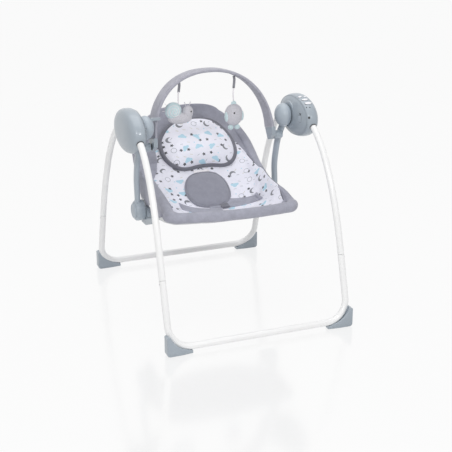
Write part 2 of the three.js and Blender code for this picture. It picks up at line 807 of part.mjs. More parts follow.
const floorCurve = new THREE.CatmullRomCurve3(stations.map(({ floor: [y, z] }) => at(0, y, reclineZ + z)));
const skirtCurve = new THREE.CatmullRomCurve3(stations.map(({ skirt }, i) => at(i, 0, skirt)));
const sideFullness = 0.75;

// Outward normal of the seat's floor line, pointing to the child.
function floorNormal(v) {
  const along = floorCurve.getTangent(v);
  return at(0, along.z, -along.y);
}

// How far the sides stand up as walls: not at the head end, fully from the waist to the front.
const wallFrom = 0;
const wallTo = 0.22;

function wallShare(v) {
  return THREE.MathUtils.smoothstep(v, wallFrom, wallTo);
}

// A point of the bucket at across = -1..1 and v = 0 (head) .. 1 (front), lifted off the lining side.
function bucket(across, v, lift) {
  const rim = rimCurve.getPoint(v);
  const floor = floorCurve.getPoint(v);
  const angle = Math.min(Math.abs(across), 1) * (Math.PI / 2);
  const out = Math.sin(angle) ** sideFullness;
  const rise = 1 - Math.cos(angle) ** sideFullness;
  const wall = wallShare(v);
  const point = floor.clone().lerp(at(0, rim.y, rim.z), rise);
  point.addScaledVector(floorNormal(v), lift * (1 - rise * wall));
  return point.setX(Math.sign(across) * (rim.x - rimBand - lift * wall) * out);
}

function clothThickness(v) {
  const near = Math.max(0, 1 - v / 0.22);
  return seatCloth + (headCloth - seatCloth) * Math.sqrt(near);
}

// Outside of the seat: the bucket below, then the skirt's lower edge, then up to the rim.
const skirtStart = 0.62;
const skirtFoot = 0.82;

function seatOutside(across, v) {
  const rim = rimCurve.getPoint(v);
  const floor = floorCurve.getPoint(v);
  const skirt = skirtCurve.getPoint(v).z;
  const side = Math.sign(across);
  const share = Math.abs(across);
  const edge = at(side * rim.x, rim.y, rim.z);
  const foot = edge.clone().setZ(rim.z - skirt);
  const drop = Math.max(rim.z - floor.z, 1);
  const rise = Math.max(0.06, 1 - skirt / drop);
  const lastAngle = Math.acos((1 - rise) ** (1 / sideFullness));
  const last = lastAngle / (Math.PI / 2);
  if (share <= skirtStart) return bucket(side * last * (share / skirtStart), v, -clothThickness(v));
  const start = bucket(side * last, v, -clothThickness(v));
  if (share <= skirtFoot) return start.lerp(foot, (share - skirtStart) / (skirtFoot - skirtStart));
  return foot.lerp(edge, (share - skirtFoot) / (1 - skirtFoot));
}

const halfColumns = [0, 0.2, 0.4, skirtStart, 0.72, skirtFoot, 0.95, 1];
const seatColumns = [...halfColumns.slice(1).map((s) => -s).reverse(), ...halfColumns];
const seatRows = [0, ...evenly(9, 0.06, 0.97), 1];

function seatShell() {
  const shell = solid(slab((u, v) => bucket(u, v, 0), seatOutside, seatColumns, seatRows));
  return geometryOf(cut(
    shell,
    seatTubeRoom(backTubePath),
    seatTubeRoom(frontTubePath),
    rollBody(rollRadius + clearance),
  ));
}

const linerLift = 2 * clearance;
const onLiner = linerLift + linerThickness + clearance;

// The liner's grid is the shell's without its edges, so that their facets lie alongside.
const linerColumns = seatColumns.slice(2, -2);
const linerRows = seatRows.slice(1, -1);

function linerBody(from, to) {
  return slab((u, v) => bucket(u, v, to), (u, v) => bucket(u, v, from), linerColumns, linerRows);
}

const seatLiner = () => linerBody(linerLift, linerLift + linerThickness);

// A crowned cushion on the lining: its outline is halfWidth(v) wide between v0 and v1.
function cushion(lift, thickness, v0, v1, halfWidth, columns = 6, rows = 6) {
  const across = (u, v) => u * halfWidth((v - v0) / (v1 - v0));
  const edge = 0.35;
  const crown = (u, v) => {
    const w = 2 * ((v - v0) / (v1 - v0)) - 1;
    return edge + (1 - edge) * Math.sqrt(Math.max(0, (1 - u ** 4) * (1 - w ** 4)));
  };
  const top = (u, v) => bucket(across(u, v), v, lift + thickness * crown(u, v));
  const bottom = (u, v) => bucket(across(u, v), v, linerThickness / 2);
  const shape = solid(slab(top, bottom, evenly(columns, -1, 1), evenly(rows, v0, v1)));
  return geometryOf(cut(shape, linerBody(-linerThickness, lift)));
}

function headPillow() {
  const halfWidth = (w) => 0.34 + 0.2 * Math.sin(Math.PI * (0.1 + 0.8 * w));
  return cushion(onLiner, pillowThickness, 0.13, 0.405, halfWidth);
}

function crotchPad() {
  const halfWidth = (w) => 0.13 + 0.11 * Math.sin(Math.PI * (0.12 + 0.76 * w));
  return cushion(onLiner, padThickness, 0.44, 0.645, halfWidth);
}

// Flat strap on the lining, from beside the pad to the side wall. Side is 1 right or -1 left.
function waistStrap(side) {
  const top = (u, v) => bucket(side * u, v, onLiner + strapRise);
  const bottom = (u, v) => bucket(side * u, v, linerThickness / 2);
  const shape = solid(slab(top, bottom, evenly(5, 0.27, 0.68), evenly(2, 0.64, 0.72)));
  return geometryOf(cut(shape, linerBody(-linerThickness, onLiner)));
}

// Padded sleeve round the front tube.
function rollBody(radius) {
  const from = 0.235;
  const part = new THREE.Curve();
  part.getPoint = (t) => frontTubePath.getPoint(from + (1 - 2 * from) * t);
  part.steps = 14;
  return tubeAlong(part, radius, 0, 10);
}

function frontRoll() {
  return geometryOf(cut(solid(rollBody(rollRadius)), seatTubeRoom(frontTubePath)));
}

// ---------------------------------------------------------------- toy bar and toys

const leanUp = at(0, Math.sin(barLean * degrees), Math.cos(barLean * degrees));
const leanAcross = at(0, Math.cos(barLean * degrees), -Math.sin(barLean * degrees));

// A point of the arch: turn -90..90 degrees from foot to foot, across the band, and off its middle.
function archPoint(turn, across, off) {
  const angle = turn * degrees;
  const out = at(
    Math.sign(turn) * Math.abs(Math.sin(angle)) ** 0.89 * barX,
    0,
    0,
  ).addScaledVector(leanUp, Math.cos(angle) ** 0.98 * barRise);
  const radial = at(Math.sin(angle), 0, 0).addScaledVector(leanUp, Math.cos(angle));
  const flare = barCone * degrees;
  const width = leanAcross.clone().multiplyScalar(Math.cos(flare)).addScaledVector(radial, Math.sin(flare) * Math.cos(angle));
  const normal = radial.clone().multiplyScalar(Math.cos(flare)).addScaledVector(leanAcross, -Math.sin(flare) * Math.cos(angle));
  return at(0, barY, barZ).add(out).addScaledVector(width, across).addScaledVector(normal, off);
}

function bandBody(grow) {
  const half = barWidth / 2 + grow;
  const top = (u, v) => archPoint(v, -u * half, barThickness / 2 + grow);
  const bottom = (u, v) => archPoint(v, -u * half, -barThickness / 2 - grow);
  return slab(top, bottom, [-1, 0, 1], evenly(20, -89.9, 89.9));
}

const toyBarBand = () => bandBody(0);

// Height of the band's foot over y, less the gap to the plastic end.
const barFootZ = (y) => barZ - (y - barY) * Math.tan(barLean * degrees) - clearance;

// Plastic end of the toy bar with the pin that turns in the arm's lug.
function toyBarEnd() {
  const x0 = barX - 4;
  const x1 = barX + 8;
  const outline = new THREE.Shape();
  const front = barY - barWidth / 2;
  const back = barY + barWidth / 2 - 5;
  outline.moveTo(front - 2, barPivotZ - 8);
  outline.absarc(barPivotY, barPivotZ, lugRadius, Math.PI * 1.2, Math.PI * 1.9, false);
  outline.lineTo(back, barFootZ(back));
  outline.lineTo(front, barFootZ(front));
  outline.lineTo(front - 2, barPivotZ + 5);
  const plate = plateAlongX(outline, x0, x1);
  const pin = barAlongX(barPinRadius, x1 - 1, lugInnerX + 12, barPivotY, barPivotZ, 10);
  return geometryOf(join(plate, pin));
}

// Each toy hangs on a strap from the inside of the band; strap and toy are one soft piece.
const toyStrapWidth = 9;
const toyStrapThickness = 2.4;
const toyGap = 0.8;
const bird = { turn: 25.2, drop: 120 };
const snail = { turn: -27.2, drop: 96 };

function hangPoint(toy) {
  return archPoint(toy.turn, 0, -barThickness / 2);
}

function toyStrap(toy, length) {
  const hang = hangPoint(toy);
  const x = toyStrapWidth / 2;
  const y = toyStrapThickness / 2;
  return block(hang.x - x, hang.x + x, hang.y - y, hang.y + y, hang.z - length, hang.z + x);
}

function ball(half, centre, segments = 10, rings = 8) {
  return superEllipsoid(half, 2, centre, segments, rings);
}

function birdToy() {
  const middle = hangPoint(bird).add(at(0, 0, -bird.drop));
  const body = ball({ x: 27, y: 20, z: 31 }, middle);
  const feet = [-10, 10].map((dx) => ball({ x: 9, y: 7, z: 8 }, middle.clone().add(at(dx, 0, -36)), 8, 4));
  const wings = [-25, 25].map((dx) => ball({ x: 5, y: 8, z: 15 }, middle.clone().add(at(dx, 0, 0)), 8, 4));
  const strap = toyStrap(bird, bird.drop - 20);
  return geometryOf(cut(join(body, strap, ...feet, ...wings), bandBody(toyGap)));
}

function snailToy() {
  const middle = hangPoint(snail).add(at(-12, -4, -snail.drop));
  const shell = ball({ x: 23, y: 16, z: 23 }, middle.clone().add(at(-8, 0, 8)));
  const body = ball({ x: 38, y: 15, z: 13 }, middle.clone().add(at(14, 0, -16)));
  const head = ball({ x: 16, y: 13, z: 20 }, middle.clone().add(at(38, 0, 0)));
  const strap = toyStrap(snail, snail.drop - 4);
  return geometryOf(cut(join(shell, body, head, strap), bandBody(toyGap)));
}

// ---------------------------------------------------------------- assembly

const model = new THREE.Group();
const frontFrame = new THREE.Group();
const rearFrame = new THREE.Group();
const drive = new THREE.Group();
const swing = new THREE.Group();
const seat = new THREE.Group();
const toyBar = new THREE.Group();
model.add(frontFrame, rearFrame, drive, swing, seat, toyBar);

function place(group, name, geometry, material) {
  const mesh = new THREE.Mesh(geometry, material);
  mesh.name = name;
  group.add(mesh);
  return mesh;
}

function placePair(group, name, geometry, material) {
  place(group, `right_${name}`, geometry, material);
  place(group, `left_${name}`, mirrored(geometry), material);
}

const rearTube = floorTube();
const leg = upperLeg();
const wedgeFoot = foot();
place(frontFrame, 'front_floor_tube', mirrored(rearTube, 1, -1), whiteEnamel);
place(frontFrame, 'front_right_leg', mirrored(leg, 1, -1), whiteEnamel);
place(frontFrame, 'front_left_leg', mirrored(mirrored(leg, 1, -1)), whiteEnamel);
place(frontFrame, 'front_right_foot', mirrored(wedgeFoot, 1, -1), blueGreyPlastic);
place(frontFrame, 'front_left_foot', mirrored(mirrored(wedgeFoot, 1, -1)), blueGreyPlastic);
place(rearFrame, 'rear_floor_tube', rearTube, whiteEnamel);
place(rearFrame, 'rear_right_leg', leg, whiteEnamel);
place(rearFrame, 'rear_left_leg', mirrored(leg), whiteEnamel);
place(rearFrame, 'rear_right_foot', wedgeFoot, blueGreyPlastic);
place(rearFrame, 'rear_left_foot', mirrored(wedgeFoot), blueGreyPlastic);
placePair(rearFrame, 'fold_disc', foldDisc(), darkPlastic);

const innerShell = geometryOf(hubInnerShell());
placePair(frontFrame, 'hub_inner_shell', innerShell, blueGreyPlastic);
place(frontFrame, 'right_hub_outer_shell', rightHubOuterShell(), blueGreyPlastic);
place(frontFrame, 'left_hub_outer_shell', mirrored(geometryOf(hubOuterShell())), blueGreyPlastic);
place(frontFrame, 'right_bearing_plate', rightBearingPlate(), darkPlastic);
place(frontFrame, 'left_bearing_plate', mirrored(geometryOf(bearingPlate())), darkPlastic);
placePair(frontFrame, 'bush', bush(), whitePlastic);
placePair(frontFrame, 'release_button', releaseButton(), blueGreyPlastic);
place(frontFrame, 'battery_door', batteryDoor(), blueGreyPlastic);
hubButtons.forEach((button, i) => {
  place(frontFrame, `control_button_${i + 1}`, ovalPeg(button, 0, buttonDepth, buttonProud), whitePlastic);
});
place(frontFrame, 'motor', motor(), steel);
place(frontFrame, 'circuit_board', boardBlock(0, 0), boardGreen);
place(frontFrame, 'speaker', speaker(), darkPlastic);
place(frontFrame, 'power_inlet', jackBar(jackRadius, -inletDepth, -0.5), darkPlastic);
const cell = batteryCell();
for (const [i, [row, column]] of [[0, 0], [0, 1], [1, 0], [1, 1]].entries()) {
  const y = hubY - cellLength - clearance / 2 + column * (cellLength + clearance);
  const z = hubZ + (row - 0.5) * (2 * cellRadius + clearance);
  place(frontFrame, `battery_${i + 1}`, cell, brass).position.set(cellX, y, z);
}

place(drive, 'worm', worm(), whitePlastic);
place(drive, 'worm_wheel', wormWheel(), whitePlastic);

place(swing, 'right_arm', geometryOf(arm()), blueGreyPlastic);
place(swing, 'left_arm', leftArm(), blueGreyPlastic);
place(swing, 'right_axle', rightAxle(), steel);
place(swing, 'left_axle', mirrored(axle(axleInnerX, axleEndX)), steel);
place(swing, 'swing_lock', mirrored(lockTongue(0, 0)), blueGreyPlastic);
placePair(swing, 'recline_cap', reclineCap(), blueGreyPlastic);

placePair(seat, 'seat_bracket', seatBracket(), blueGreyPlastic);
place(seat, 'seat_front_tube', seatTube(frontTubePath), steel);
place(seat, 'seat_back_tube', seatTube(backTubePath), steel);
place(seat, 'seat_shell', seatShell(), greyFabric);
place(seat, 'front_roll', frontRoll(), greyFabric);
place(seat, 'seat_liner', seatLiner(), printFabric);
place(seat, 'head_pillow', headPillow(), printFabric);
place(seat, 'crotch_pad', crotchPad(), greyFabric);
place(seat, 'right_waist_strap', waistStrap(1), greyFabric);
place(seat, 'left_waist_strap', waistStrap(-1), greyFabric);

place(toyBar, 'toy_bar_band', toyBarBand(), barFabric);
placePair(toyBar, 'toy_bar_end', toyBarEnd(), blueGreyPlastic);

place(toyBar, 'bird_toy', birdToy(), plushFabric);
place(toyBar, 'snail_toy', snailToy(), plushFabric);

export default model;
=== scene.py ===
"""Looks of a folding baby swing: tubes, hubs, arms, padded seat, toy bar and two soft toys.

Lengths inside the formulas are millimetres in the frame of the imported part: +Z up, the child's
feet towards -Y, and the origin on the floor between the four feet.
"""

from math import cos, pi, radians, sin, sqrt

import bpy
import numpy as np
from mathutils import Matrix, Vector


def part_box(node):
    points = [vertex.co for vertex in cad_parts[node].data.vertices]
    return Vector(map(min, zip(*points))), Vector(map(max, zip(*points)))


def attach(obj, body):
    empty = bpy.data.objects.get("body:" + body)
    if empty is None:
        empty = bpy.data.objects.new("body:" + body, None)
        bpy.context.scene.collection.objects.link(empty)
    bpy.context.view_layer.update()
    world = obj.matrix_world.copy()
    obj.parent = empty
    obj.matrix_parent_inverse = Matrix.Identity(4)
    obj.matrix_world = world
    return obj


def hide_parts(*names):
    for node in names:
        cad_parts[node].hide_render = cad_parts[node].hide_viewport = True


bl_info = {
    "name": "Baby Swing",
    "version": (1, 0, 0),
    "blender": (4, 5, 0),
    "location": "View3D > Sidebar > Baby Swing",
    "description": "Builds the looks of a folding baby swing round its packed frame",
    "category": "Object",
}

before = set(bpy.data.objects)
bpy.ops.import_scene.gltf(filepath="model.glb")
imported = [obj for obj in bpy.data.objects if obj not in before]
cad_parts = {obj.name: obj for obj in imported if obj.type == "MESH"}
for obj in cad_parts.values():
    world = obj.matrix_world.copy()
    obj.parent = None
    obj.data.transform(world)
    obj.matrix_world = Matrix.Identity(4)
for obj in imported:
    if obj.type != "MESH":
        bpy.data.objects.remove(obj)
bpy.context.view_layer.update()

MM = 0.001

# ------------------------------------------------------------------ sizes shared by the pieces

PIVOT_Z = 550.0
LEG_X = 271.0
FLOOR_TUBE_Y = 350.0
FLOOR_TUBE_Z = 18.0
FLOOR_BEND = 64.0
KNEE = np.array([271.0, 297.0, 200.0])
TUBE_RADIUS = 9.5
HUB_CENTRE = np.array([264.0, -9.0, 548.5])
HUB_HALF = np.array([31.0, 101.5, 62.2])
HUB_POWER = 2.86
HUB_SEAM_X = 247.0
HUB_LEG_X = 264.5
HUB_FACE_X = 233.0
HUB_WALL = 2.4
ARM_X = 224.0
RECLINE_Y = 72.0
RECLINE_Z = 280.0
SEAT_HALF = 203.0
RIM_BAND = 26.0
SECTION_POWER = 0.75
LINER = 12.6
BAR_X = 184.0
BAR_RISE = 184.0
BAR_FOOT = np.array([0.0, 27.0, 509.5])
BAR_LEAN = radians(14.3)
BAR_CONE = radians(9.8)
SIDES = (("right", 1.0), ("left", -1.0))


# ------------------------------------------------------------------ meshes from arrays


def unit(vectors):
    """Each vector divided by its own length."""
    return vectors / np.linalg.norm(vectors, axis=-1, keepdims=True)


def grid_faces(rows, columns, wrap):
    """Quads of a grid of rows by columns; with wrap the last column joins the first."""
    i = np.arange(rows - 1)[:, None]
    j = np.arange(columns if wrap else columns - 1)[None, :]
    following = (j + 1) % columns
    quads = np.stack(
        [
            i * columns + j,
            i * columns + following,
            (i + 1) * columns + following,
            (i + 1) * columns + j,
        ],
        axis=-1,
    )
    return quads.reshape(-1, 4)


def volume_of(points, faces):
    """Six times the signed volume: the sum of the triple products over fans of every face."""
    total = 0.0
    for face in faces:
        a = points[face[0]]
        b = points[face[1:-1]]
        c = points[face[2:]]
        total += float(np.sum(a * np.cross(b, c)))
    return total


def lay_uv(mesh, uv):
    """Gives each corner of the mesh the print coordinates of its point."""
    layer = mesh.uv_layers.get("Lay") or mesh.uv_layers.new(name="Lay")
    corner = np.empty(len(mesh.loops), dtype=np.int32)
    mesh.loops.foreach_get("vertex_index", corner)
    layer.data.foreach_set("uv", uv[corner].astype(np.float32).ravel())


def make_mesh(name, points, faces, uv=None, crease=40.0):
    """A smooth-shaded object from points in millimetres, sharp only over the crease angle."""
    mesh = bpy.data.meshes.new(name)
    mesh.from_pydata((points * MM).tolist(), [], [list(map(int, f)) for f in faces])
    if uv is not None:
        lay_uv(mesh, uv)
    mesh.polygons.foreach_set("use_smooth", [True] * len(mesh.polygons))
    mesh.set_sharp_from_angle(angle=radians(crease))
    mesh.update()
    obj = bpy.data.objects.new(name, mesh)
    bpy.context.scene.collection.objects.link(obj)
    return obj


def points_of(obj):
    """The mesh's points as an array in metres."""
    points = np.empty(len(obj.data.vertices) * 3)
    obj.data.vertices.foreach_get("co", points)
    return points.reshape(-1, 3)


def loft(name, rings, crease=40.0):
    """A closed skin over rings of points, rows by columns, with flat ends, faces pointing out."""
    rows, columns = rings.shape[:2]
    points = rings.reshape(-1, 3)
    faces = [np.array(f) for f in grid_faces(rows, columns, True)]
    faces.append(np.arange(columns)[::-1])
    faces.append(np.arange(columns) + (rows - 1) * columns)
    if volume_of(points, faces) < 0:
        faces = [f[::-1] for f in faces]
    return make_mesh(name, points, faces, crease=crease)


def join_objects(name, objects):
    """Joins several meshes into one object of that name."""
    with bpy.context.temp_override(
        active_object=objects[0], selected_editable_objects=objects, selected_objects=objects
    ):
        if len(objects) > 1:
            bpy.ops.object.join()
    objects[0].name = name
    objects[0].data.name = name
    return objects[0]


def frames_along(path, reference):
    """Two unit vectors across a path at each point: the first lies nearest to the reference."""
    ahead = unit(np.gradient(path, axis=0))
    first = unit(reference - np.sum(ahead * reference, axis=1, keepdims=True) * ahead)
    return first, np.cross(ahead, first)


def turned_frames(path):
    """Two unit vectors across a path that turn with it and never twist about it."""
    ahead = unit(np.gradient(path, axis=0))
    helper = np.array([0.0, 0.0, 1.0]) if abs(ahead[0][2]) < 0.9 else np.array([1.0, 0.0, 0.0])
    first = np.empty_like(path)
    first[0] = unit(np.cross(ahead[0], helper))
    for i in range(1, len(path)):
        across = first[i - 1] - ahead[i] * np.dot(first[i - 1], ahead[i])
        first[i] = unit(across)
    return first, np.cross(ahead, first)


def swept_rings(path, first, second, wide, deep):
    """Rings round a path: each point goes out by wide times first and deep times second."""
    return path[:, None] + wide[..., None] * first[:, None] + deep[..., None] * second[:, None]


def tube(name, path, radius, sides=28):
    """A round tube: radius times (cos a, sin a) in the plane across the path at each point."""
    first, second = turned_frames(path)
    angle = np.linspace(0, 2 * pi, sides, endpoint=False)
    radius = np.broadcast_to(radius, (len(path),))[:, None, None]
    ring = (
        np.cos(angle)[None, :, None] * first[:, None, :]
        + np.sin(angle)[None, :, None] * second[:, None, :]
    )
    return loft(name, path[:, None, :] + radius * ring)


def lathe_x(name, profile, centre, sides):
    """A turned piece about an axis along X: the profile gives (x, radius) pairs."""
    angle = np.linspace(0, 2 * pi, sides, endpoint=False)
    x, radius = np.array(profile, dtype=float).T
    ring = np.stack(
        [
            np.broadcast_to(x[:, None] + centre[0], (len(x), sides)),
            centre[1] + radius[:, None] * np.cos(angle),
            centre[2] + radius[:, None] * np.sin(angle),
        ],
        axis=-1,
    )
    return loft(name, ring)


def egg(name, half, centre, power, segments=40, rings=24):
    """A super-ellipsoid: (|cos t|^(2/p), |sin t|^(2/p)) turned about Z and stretched to half."""
    t = np.linspace(-pi / 2 + 0.04, pi / 2 - 0.04, rings)[:, None]
    a = np.linspace(0, 2 * pi, segments, endpoint=False)[None, :]
    bulge = np.abs(np.cos(t)) ** (2 / power)
    height = np.sign(np.sin(t)) * np.abs(np.sin(t)) ** (2 / power)
    ring = np.stack(
        [
            half[0] * bulge * np.cos(a),
            half[1] * bulge * np.sin(a),
            half[2] * np.broadcast_to(height, (rings, segments)),
        ],
        axis=-1,
    )
    return loft(name, ring + np.asarray(centre))


def mirrored(obj, name, x=-1.0, y=1.0):
    """The same piece with X and Y times the signs x and y, its faces turned back out."""
    mesh = obj.data.copy()
    mesh.vertices.foreach_set("co", (points_of(obj) * np.array([x, y, 1.0])).ravel())
    if x * y < 0:
        mesh.flip_normals()
    mesh.update()
    copy = bpy.data.objects.new(name, mesh)
    bpy.context.scene.collection.objects.link(copy)
    return copy


def smooth_curve(knots, t):
    """A centripetal Catmull-Rom curve through the knots at t from 0 to 1.

    Between two knots it is a cubic. Its slope at a knot comes from the chords on both sides, each
    divided by the square root of its length.
    """
    knots = np.asarray(knots, dtype=float)
    t = np.atleast_1d(np.asarray(t, dtype=float))
    place = np.clip(t, 0, 1) * (len(knots) - 1)
    i = np.minimum(place.astype(int), len(knots) - 2)
    w = (place - i)[..., None]
    ends = np.concatenate([[2 * knots[0] - knots[1]], knots, [2 * knots[-1] - knots[-2]]])
    p0, p1, p2, p3 = ends[i], ends[i + 1], ends[i + 2], ends[i + 3]
    d0, d1, d2 = (
        np.sqrt(np.linalg.norm(b - a, axis=-1, keepdims=True))
        for a, b in ((p0, p1), (p1, p2), (p2, p3))
    )
    m1 = ((p1 - p0) / d0 - (p2 - p0) / (d0 + d1) + (p2 - p1) / d1) * d1
    m2 = ((p2 - p1) / d1 - (p3 - p1) / (d1 + d2) + (p3 - p2) / d2) * d1
    return p1 + m1 * w + (3 * (p2 - p1) - 2 * m1 - m2) * w**2 + (2 * (p1 - p2) + m1 + m2) * w**3


def smoothstep(x, low, high):
    """0 below low, 1 above high, and 3 s^2 - 2 s^3 between them."""
    s = np.clip((x - low) / (high - low), 0, 1)
    return s * s * (3 - 2 * s)


def finish_piece(obj, body, material, stands_for=(), levels=0, padded=None):
    """Gives a piece its material, its body and the nodes that it stands for."""
    obj.data.materials.clear()
    obj.data.materials.append(material)
    if levels:
        divide = obj.modifiers.new("Smooth", "SUBSURF")
        divide.levels = levels
        divide.render_levels = levels
    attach(obj, body)
    if stands_for:
        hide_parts(*stands_for)
    return obj


# ------------------------------------------------------------------ materials


class Wire:
    """One value in a material's node tree; sums and comparisons add Math nodes."""

    def __init__(self, finish, socket):
        self.finish = finish
        self.socket = socket

    def math(self, operation, *others):
        """A Math node of this value and the others."""
        values = {i: other for i, other in enumerate((self, *others))}
        return self.finish.node("ShaderNodeMath", {"operation": operation}, values)

    def __add__(self, other):
        return self.math("ADD", other)

    __radd__ = __add__

    def __sub__(self, other):
        return self.math("SUBTRACT", other)

    def __rsub__(self, other):
        return self.finish.node("ShaderNodeMath", {"operation": "SUBTRACT"}, {0: other, 1: self})

    def __mul__(self, other):
        return self.math("MULTIPLY", other)

    __rmul__ = __mul__

    def __lt__(self, other):
        return self.math("LESS_THAN", other)

    def __gt__(self, other):
        return self.math("GREATER_THAN", other)

    def at_most(self, other):
        """The smaller of the two values."""
        return self.math("MINIMUM", other)

    def at_least(self, other):
        """The larger of the two values."""
        return self.math("MAXIMUM", other)

    def soft(self, low, high):
        """0 at low and 1 at high, with a smooth rise between them."""
        return self.finish.node(
            "ShaderNodeMapRange",
            {"interpolation_type": "SMOOTHSTEP"},
            {"Value": self, "From Min": low, "From Max": high, "To Min": 0.0, "To Max": 1.0},
        )


class Finish:
    """A material under construction: its node tree and its Principled shader."""

    def __init__(self, name, colour, roughness, **constants):
        self.material = bpy.data.materials.new(name)
        self.material.use_nodes = True
        self.tree = self.material.node_tree
        self.shader = self.tree.nodes["Principled BSDF"]
        self.shader.inputs["Base Color"].default_value = (*colour, 1.0)
        self.shader.inputs["Roughness"].default_value = roughness
        for key, value in constants.items():
            self.shader.inputs[key.replace("_", " ")].default_value = value

    def node(self, kind, settings=None, values=None, out=0):
        """Adds a node, sets its settings first, then fills its sockets, and returns its output."""
        node = self.tree.nodes.new(kind)
        for key, value in (settings or {}).items():
            setattr(node, key, value)
        for key, value in (values or {}).items():
            socket = node.inputs[key]
            if isinstance(value, Wire):
                self.tree.links.new(value.socket, socket)
            else:
                socket.default_value = value
        return Wire(self, node.outputs[out])

    def place(self, output="Object"):
        """Where a point lies: in the object's own space, or on its laid-out skin for UV."""
        return self.node("ShaderNodeTexCoord", out=output)

    def split(self, vector):
        """The three components of a vector or colour."""
        return [self.node("ShaderNodeSeparateXYZ", None, {0: vector}, out=k) for k in range(3)]

    def noise(self, scale, detail, roughness=0.55):
        """Cloudy noise from 0 to 1, with scale in periods to the metre."""
        values = {"Vector": self.place(), "Scale": scale, "Detail": detail, "Roughness": roughness}
        return self.node("ShaderNodeTexNoise", None, values)

    def blend(self, share, first, second):
        """The first colour where share is 0 and the second where it is 1."""
        values = {
            "Factor": share,
            6: first if isinstance(first, Wire) else (*first, 1.0),
            7: second if isinstance(second, Wire) else (*second, 1.0),
        }
        return self.node("ShaderNodeMix", {"data_type": "RGBA"}, values, out=2)

    def feed(self, socket, wire):
        """Lets a value drive one socket of the Principled shader."""
        self.tree.links.new(wire.socket, self.shader.inputs[socket])

    def bump(self, height, distance):
        """Height in 0..1 times distance in metres bends the normal."""
        values = {"Height": height, "Distance": distance}
        self.feed("Normal", self.node("ShaderNodeBump", None, values))


MATERIALS = {}


def chosen(name):
    """A size of the panel, in millimetres."""
    return round(getattr(bpy.context.scene.swing_sizes, name) / MM, 4)


def shade(colour, factor):
    """A colour made darker or lighter by a factor."""
    return tuple(min(1.0, c * factor) for c in colour)


def moulded_plastic(name, colour, roughness, coat=0.0):
    """Moulded plastic: a faint grain in the gloss and very slight colour drift."""
    finish = Finish(name, colour, roughness, Coat_Weight=coat, Coat_Roughness=0.08)
    drift = finish.noise(9.0, 2.0).soft(0.35, 0.65)
    finish.feed("Base Color", finish.blend(drift, shade(colour, 0.97), shade(colour, 1.03)))
    grain = finish.noise(900.0, 2.0)
    finish.feed("Roughness", grain * 0.08 + (roughness - 0.04))
    finish.bump(grain, 0.00002)
    return finish.material


def enamel(name, colour):
    """Sprayed enamel on steel tube: smooth gloss with a light orange-peel."""
    finish = Finish(name, colour, 0.3, Coat_Weight=0.3, Coat_Roughness=0.1)
    peel = finish.noise(150.0, 2.0)
    cloud = finish.noise(14.0, 3.0)
    finish.feed("Base Color", finish.blend(cloud.soft(0.4, 0.7), colour, shade(colour, 0.975)))
    finish.feed("Roughness", cloud * 0.12 + 0.24)
    finish.bump(peel, 0.00004)
    return finish.material


def metal(name, colour, roughness):
    """Plain metal with fine scratches that vary its gloss."""
    finish = Finish(name, colour, roughness, Metallic=1.0)
    scratch = finish.noise(240.0, 4.0)
    finish.feed("Roughness", scratch * 0.3 + (roughness - 0.15))
    finish.bump(scratch, 0.00004)
    return finish.material


def brushed_fabric(name, colour, pile=0.0006, weave=1100.0, contrast=0.15):
    """Short-piled fabric: a fine thread bump under soft darker and lighter strokes of the pile."""
    finish = Finish(name, colour, 0.92, Sheen_Weight=0.35, Sheen_Roughness=0.5)
    finish.shader.inputs["Specular IOR Level"].default_value = 0.25
    strokes = finish.noise(52.0, 5.0, roughness=0.65)
    fibre = finish.noise(weave, 3.0, roughness=0.7)
    mottle = strokes.soft(0.3, 0.7) * 0.6 + fibre.soft(0.3, 0.7) * 0.4
    low = shade(colour, 1 - contrast)
    high = shade(colour, 1 + contrast)
    finish.feed("Base Color", finish.blend(mottle, low, high))
    finish.bump(fibre * 0.7 + strokes * 0.6, pile)
    return finish.material


def velvet(name, colour):
    """Velvety fabric of the crotch pad: softer, with broad strokes of the nap."""
    return brushed_fabric(name, colour, 0.0004, 1800.0, 0.08)


def print_motifs(finish, where, cell, seed, stray):
    """Square cells over the cloth, each with a motif's centre and lean of its own.

    The centre moves from the cell's middle by up to half of stray. Returns x and y from that
    centre in cell widths, turned by the lean, and two random numbers of the cell.
    """
    values = {0: where, "Scale": 1.0 / cell}
    scaled = finish.node("ShaderNodeVectorMath", {"operation": "SCALE"}, values)
    moved = finish.node(
        "ShaderNodeVectorMath", {"operation": "ADD"}, {0: scaled, 1: (seed, seed * 0.37, 0.0)}
    )
    cell_id = finish.node("ShaderNodeVectorMath", {"operation": "FLOOR"}, {0: moved})
    inside = finish.node("ShaderNodeVectorMath", {"operation": "FRACTION"}, {0: moved})
    random = finish.node(
        "ShaderNodeTexWhiteNoise", {"noise_dimensions": "2D"}, {"Vector": cell_id}, out="Color"
    )
    r1, r2, r3 = finish.split(random)
    x, y, _ = finish.split(inside)
    px = x - 0.5 - (r1 - 0.5) * stray
    py = y - 0.5 - (r2 - 0.5) * stray
    lean = (r3 - 0.5) * 1.6
    cosine = lean.math("COSINE")
    sine = lean.math("SINE")
    return px * cosine + py * sine, py * cosine - px * sine, r1, r3


def disc(x, y, cx, cy, radius, edge=0.012):
    """1 inside a circle, falling to 0 over the edge width."""
    dx = x - cx
    dy = y - cy
    distance = (dx * dx + dy * dy).math("SQRT")
    return 1.0 - distance.soft(radius - edge, radius + edge)


def star(x, y, radius, edge):
    """A five-pointed star: its radius swings between the points with the angle."""
    angle = y.math("ARCTAN2", x) * (5 / (2 * pi))
    swing = (angle.math("FRACT") - 0.5).math("ABSOLUTE") * 2.0
    distance = (x * x + y * y).math("SQRT")
    reach = swing * (radius * 0.52) + radius * 0.48
    return 1.0 - (distance - reach).soft(-edge, edge)


